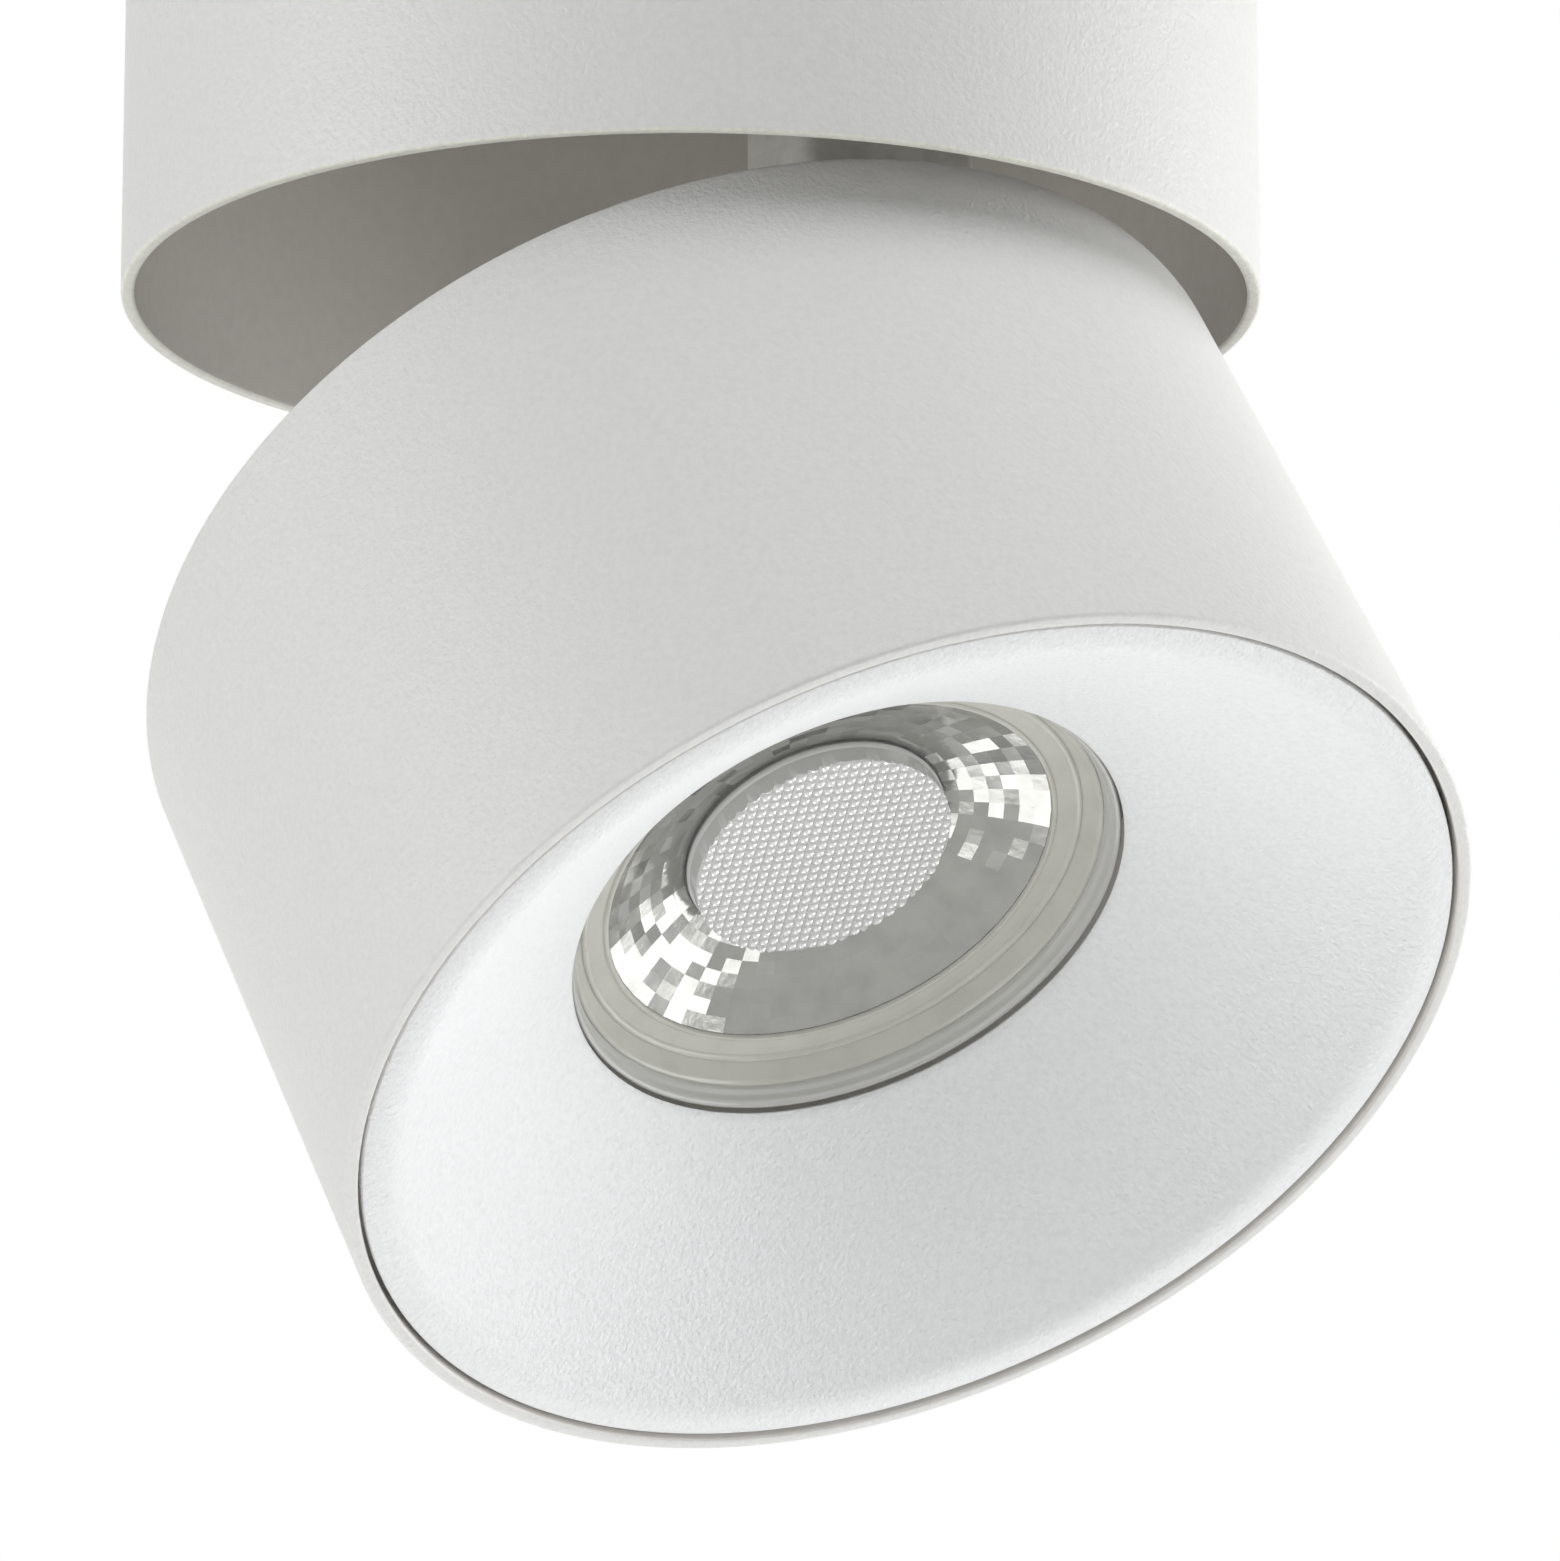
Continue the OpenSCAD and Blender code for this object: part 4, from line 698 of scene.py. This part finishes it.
CAD_FINISHES = {
    galvanised: ("ceiling_bracket", "deck_plate", "swivel_arm", "holder_bracket"),
    rubber: ("cable_grommet",),
    blackened: ("side_screws",),
    zinc: ("deck_screws", "stop_pin", "clamp_screws", "block_screws", "stop_washer", "hinge_bolt",
           "hinge_nut", "hinge_washers", "bracket_screws", "holder_screws", "spring_rivets"),
    turned_brass: ("terminal_inserts", "earth_screw", "swivel_nipple", "nipple_nuts"),
    spring_steel: ("disc_spring", "cone_springs"),
    nylon: ("slide_washer", "hinge_bushes"),
    polyamide: ("terminal_block",),
    steatite: ("lamp_holder",),
    bronze: ("holder_contacts",),
    board_white: ("led_board",),
    phosphor: ("led_chip",),
    board_green: ("driver_board",),
    lamp_base_white: ("lamp_base",),
    nickel: ("lamp_pins",),
}
for finish, names in CAD_FINISHES.items():
    for name in names:
        cover(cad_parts[name], finish)

# Two insulated feed leads, with bare copper where they are clamped in the terminal block.
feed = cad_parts["feed_leads"]
cover(feed, brown_pvc, blue_pvc, copper)
part_of_faces(feed, 1, lambda c, n: c.x < 0)
part_of_faces(feed, 2, lambda c, n: c.y > 18.02)

# The earth lead has bare copper in the terminal block, and a plated eyelet on the deck.
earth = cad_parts["earth_lead"]
cover(earth, green_pvc, copper, zinc)
part_of_faces(earth, 1, lambda c, n: c.y > 18.02)
part_of_faces(earth, 2, lambda c, n: c.z < -23.19)


# Floor, light and camera

def background_rays(tree):
    """One for a ray of the camera, a reflection or a view through glass, which show the pale background."""
    rays = node(tree, "ShaderNodeLightPath")
    some = node(tree, "ShaderNodeMath", {"operation": "MAXIMUM"},
                {0: rays.outputs["Is Camera Ray"], 1: rays.outputs["Is Glossy Ray"]})
    more = node(tree, "ShaderNodeMath", {"operation": "MAXIMUM"},
                {0: some.outputs[0], 1: rays.outputs["Is Transmission Ray"]})
    return more.outputs[0]


# The floor lies a room's height below the ceiling. It is a pale background to the camera, to reflections and
# through glass, and it sends little light up to the object.
FLOOR_SIZE = 40
FLOOR_Z = -2.4
FLOOR_GLOW = 0.7
bpy.ops.object.select_all(action="DESELECT")
bpy.ops.mesh.primitive_plane_add(size=FLOOR_SIZE, location=(0, 0, FLOOR_Z))
floor = bpy.context.object
floor.name = "floor"
floor_paint, floor_tree, floor_shader, floor_where = finish_of("plain pale floor")
mottle(floor_tree, floor_shader, floor_where, "#E6E5E2", 0.99, 400)
floor_shader.inputs["Roughness"].default_value = 0.9
pale = node(floor_tree, "ShaderNodeEmission", {"Color": tint("#F4F4F2"), "Strength": 1.0})
share = node(floor_tree, "ShaderNodeMath", {"operation": "MULTIPLY", 1: FLOOR_GLOW},
             {0: background_rays(floor_tree)})
lifted = node(floor_tree, "ShaderNodeMixShader", {},
              {0: share.outputs[0], 1: floor_shader.outputs[0], 2: pale.outputs[0]})
floor_tree.links.new(lifted.outputs[0], floor_tree.nodes["Material Output"].inputs["Surface"])
cover(floor, floor_paint)

# The world is white to the same rays, and a dim even light to the surfaces.
world = bpy.data.worlds.new("soft studio")
bpy.context.scene.world = world
world.use_nodes = True
sky = world.node_tree
seen = sky.nodes["Background"]
seen.inputs["Color"].default_value = (1, 1, 1, 1)
seen.inputs["Strength"].default_value = 1.0
soft = node(sky, "ShaderNodeBackground", {"Color": (1, 1, 1, 1), "Strength": 0.1})
mixed = node(sky, "ShaderNodeMixShader", {},
             {0: background_rays(sky), 1: soft.outputs[0], 2: seen.outputs[0]})
sky.links.new(mixed.outputs[0], sky.nodes["World Output"].inputs["Surface"])


MIDDLE = Vector((0, 0, -0.09))


def soft_box(name, place, size, watts):
    """A round soft light that faces the middle of the object, and that the camera doesn't see."""
    data = bpy.data.lights.new(name, "AREA")
    data.shape = "DISK"
    data.size = size
    data.energy = watts
    lamp = bpy.data.objects.new(name, data)
    bpy.context.scene.collection.objects.link(lamp)
    lamp.location = place
    lamp.rotation_mode = "QUATERNION"
    lamp.rotation_quaternion = (MIDDLE - Vector(place)).to_track_quat("-Z", "Y")
    lamp.visible_camera = False
    return lamp


# The boxes stand round the object so that its tones follow the photo's. The top one reaches the head's upper
# side over the shell, and the wide one below lifts the undersides and is kept out of reflections.
soft_box("left soft box", (-1.05, 0.25, -0.1), 0.9, 6.2)
soft_box("right soft box", (0.95, -0.25, -0.1), 0.7, 3.8)
soft_box("front soft box", (0.7, -0.8, -0.15), 0.7, 3.6)
soft_box("side soft box", (0.8, -0.3, -0.57), 0.56, 1.7)
soft_box("back soft box", (0.18, 0.34, -0.64), 0.46, 1.1)
soft_box("top soft box", (0.05, -0.45, 1.05), 1.5, 10.5)
soft_box("low soft box", (-0.6, -0.35, -0.6), 0.6, 1.4)
fill = soft_box("fill from below", (0, 0, -1.1), 3.0, 12.0)
fill.visible_glossy = False

# The camera stands below and to the left of the object's front, as the photograph was taken.
camera_data = bpy.data.cameras.new("camera")
camera_data.lens = 207.8
camera_data.sensor_width = 36
camera_data.clip_start = 0.05
camera = bpy.data.objects.new("camera", camera_data)
bpy.context.scene.collection.objects.link(camera)
camera.location = (-0.4570, -0.6054, -0.29087)
pitch, yaw, azimuth = 0.2429, 0.0103, math.radians(-37.049)
ahead = Vector((math.sin(yaw) * math.cos(pitch), math.cos(yaw) * math.cos(pitch), math.sin(pitch)))
ahead.rotate(Matrix.Rotation(azimuth, 3, "Z"))
camera.rotation_mode = "QUATERNION"
camera.rotation_quaternion = ahead.to_track_quat("-Z", "Y")
bpy.context.scene.camera = camera
bpy.context.scene.view_settings.view_transform = "Standard"
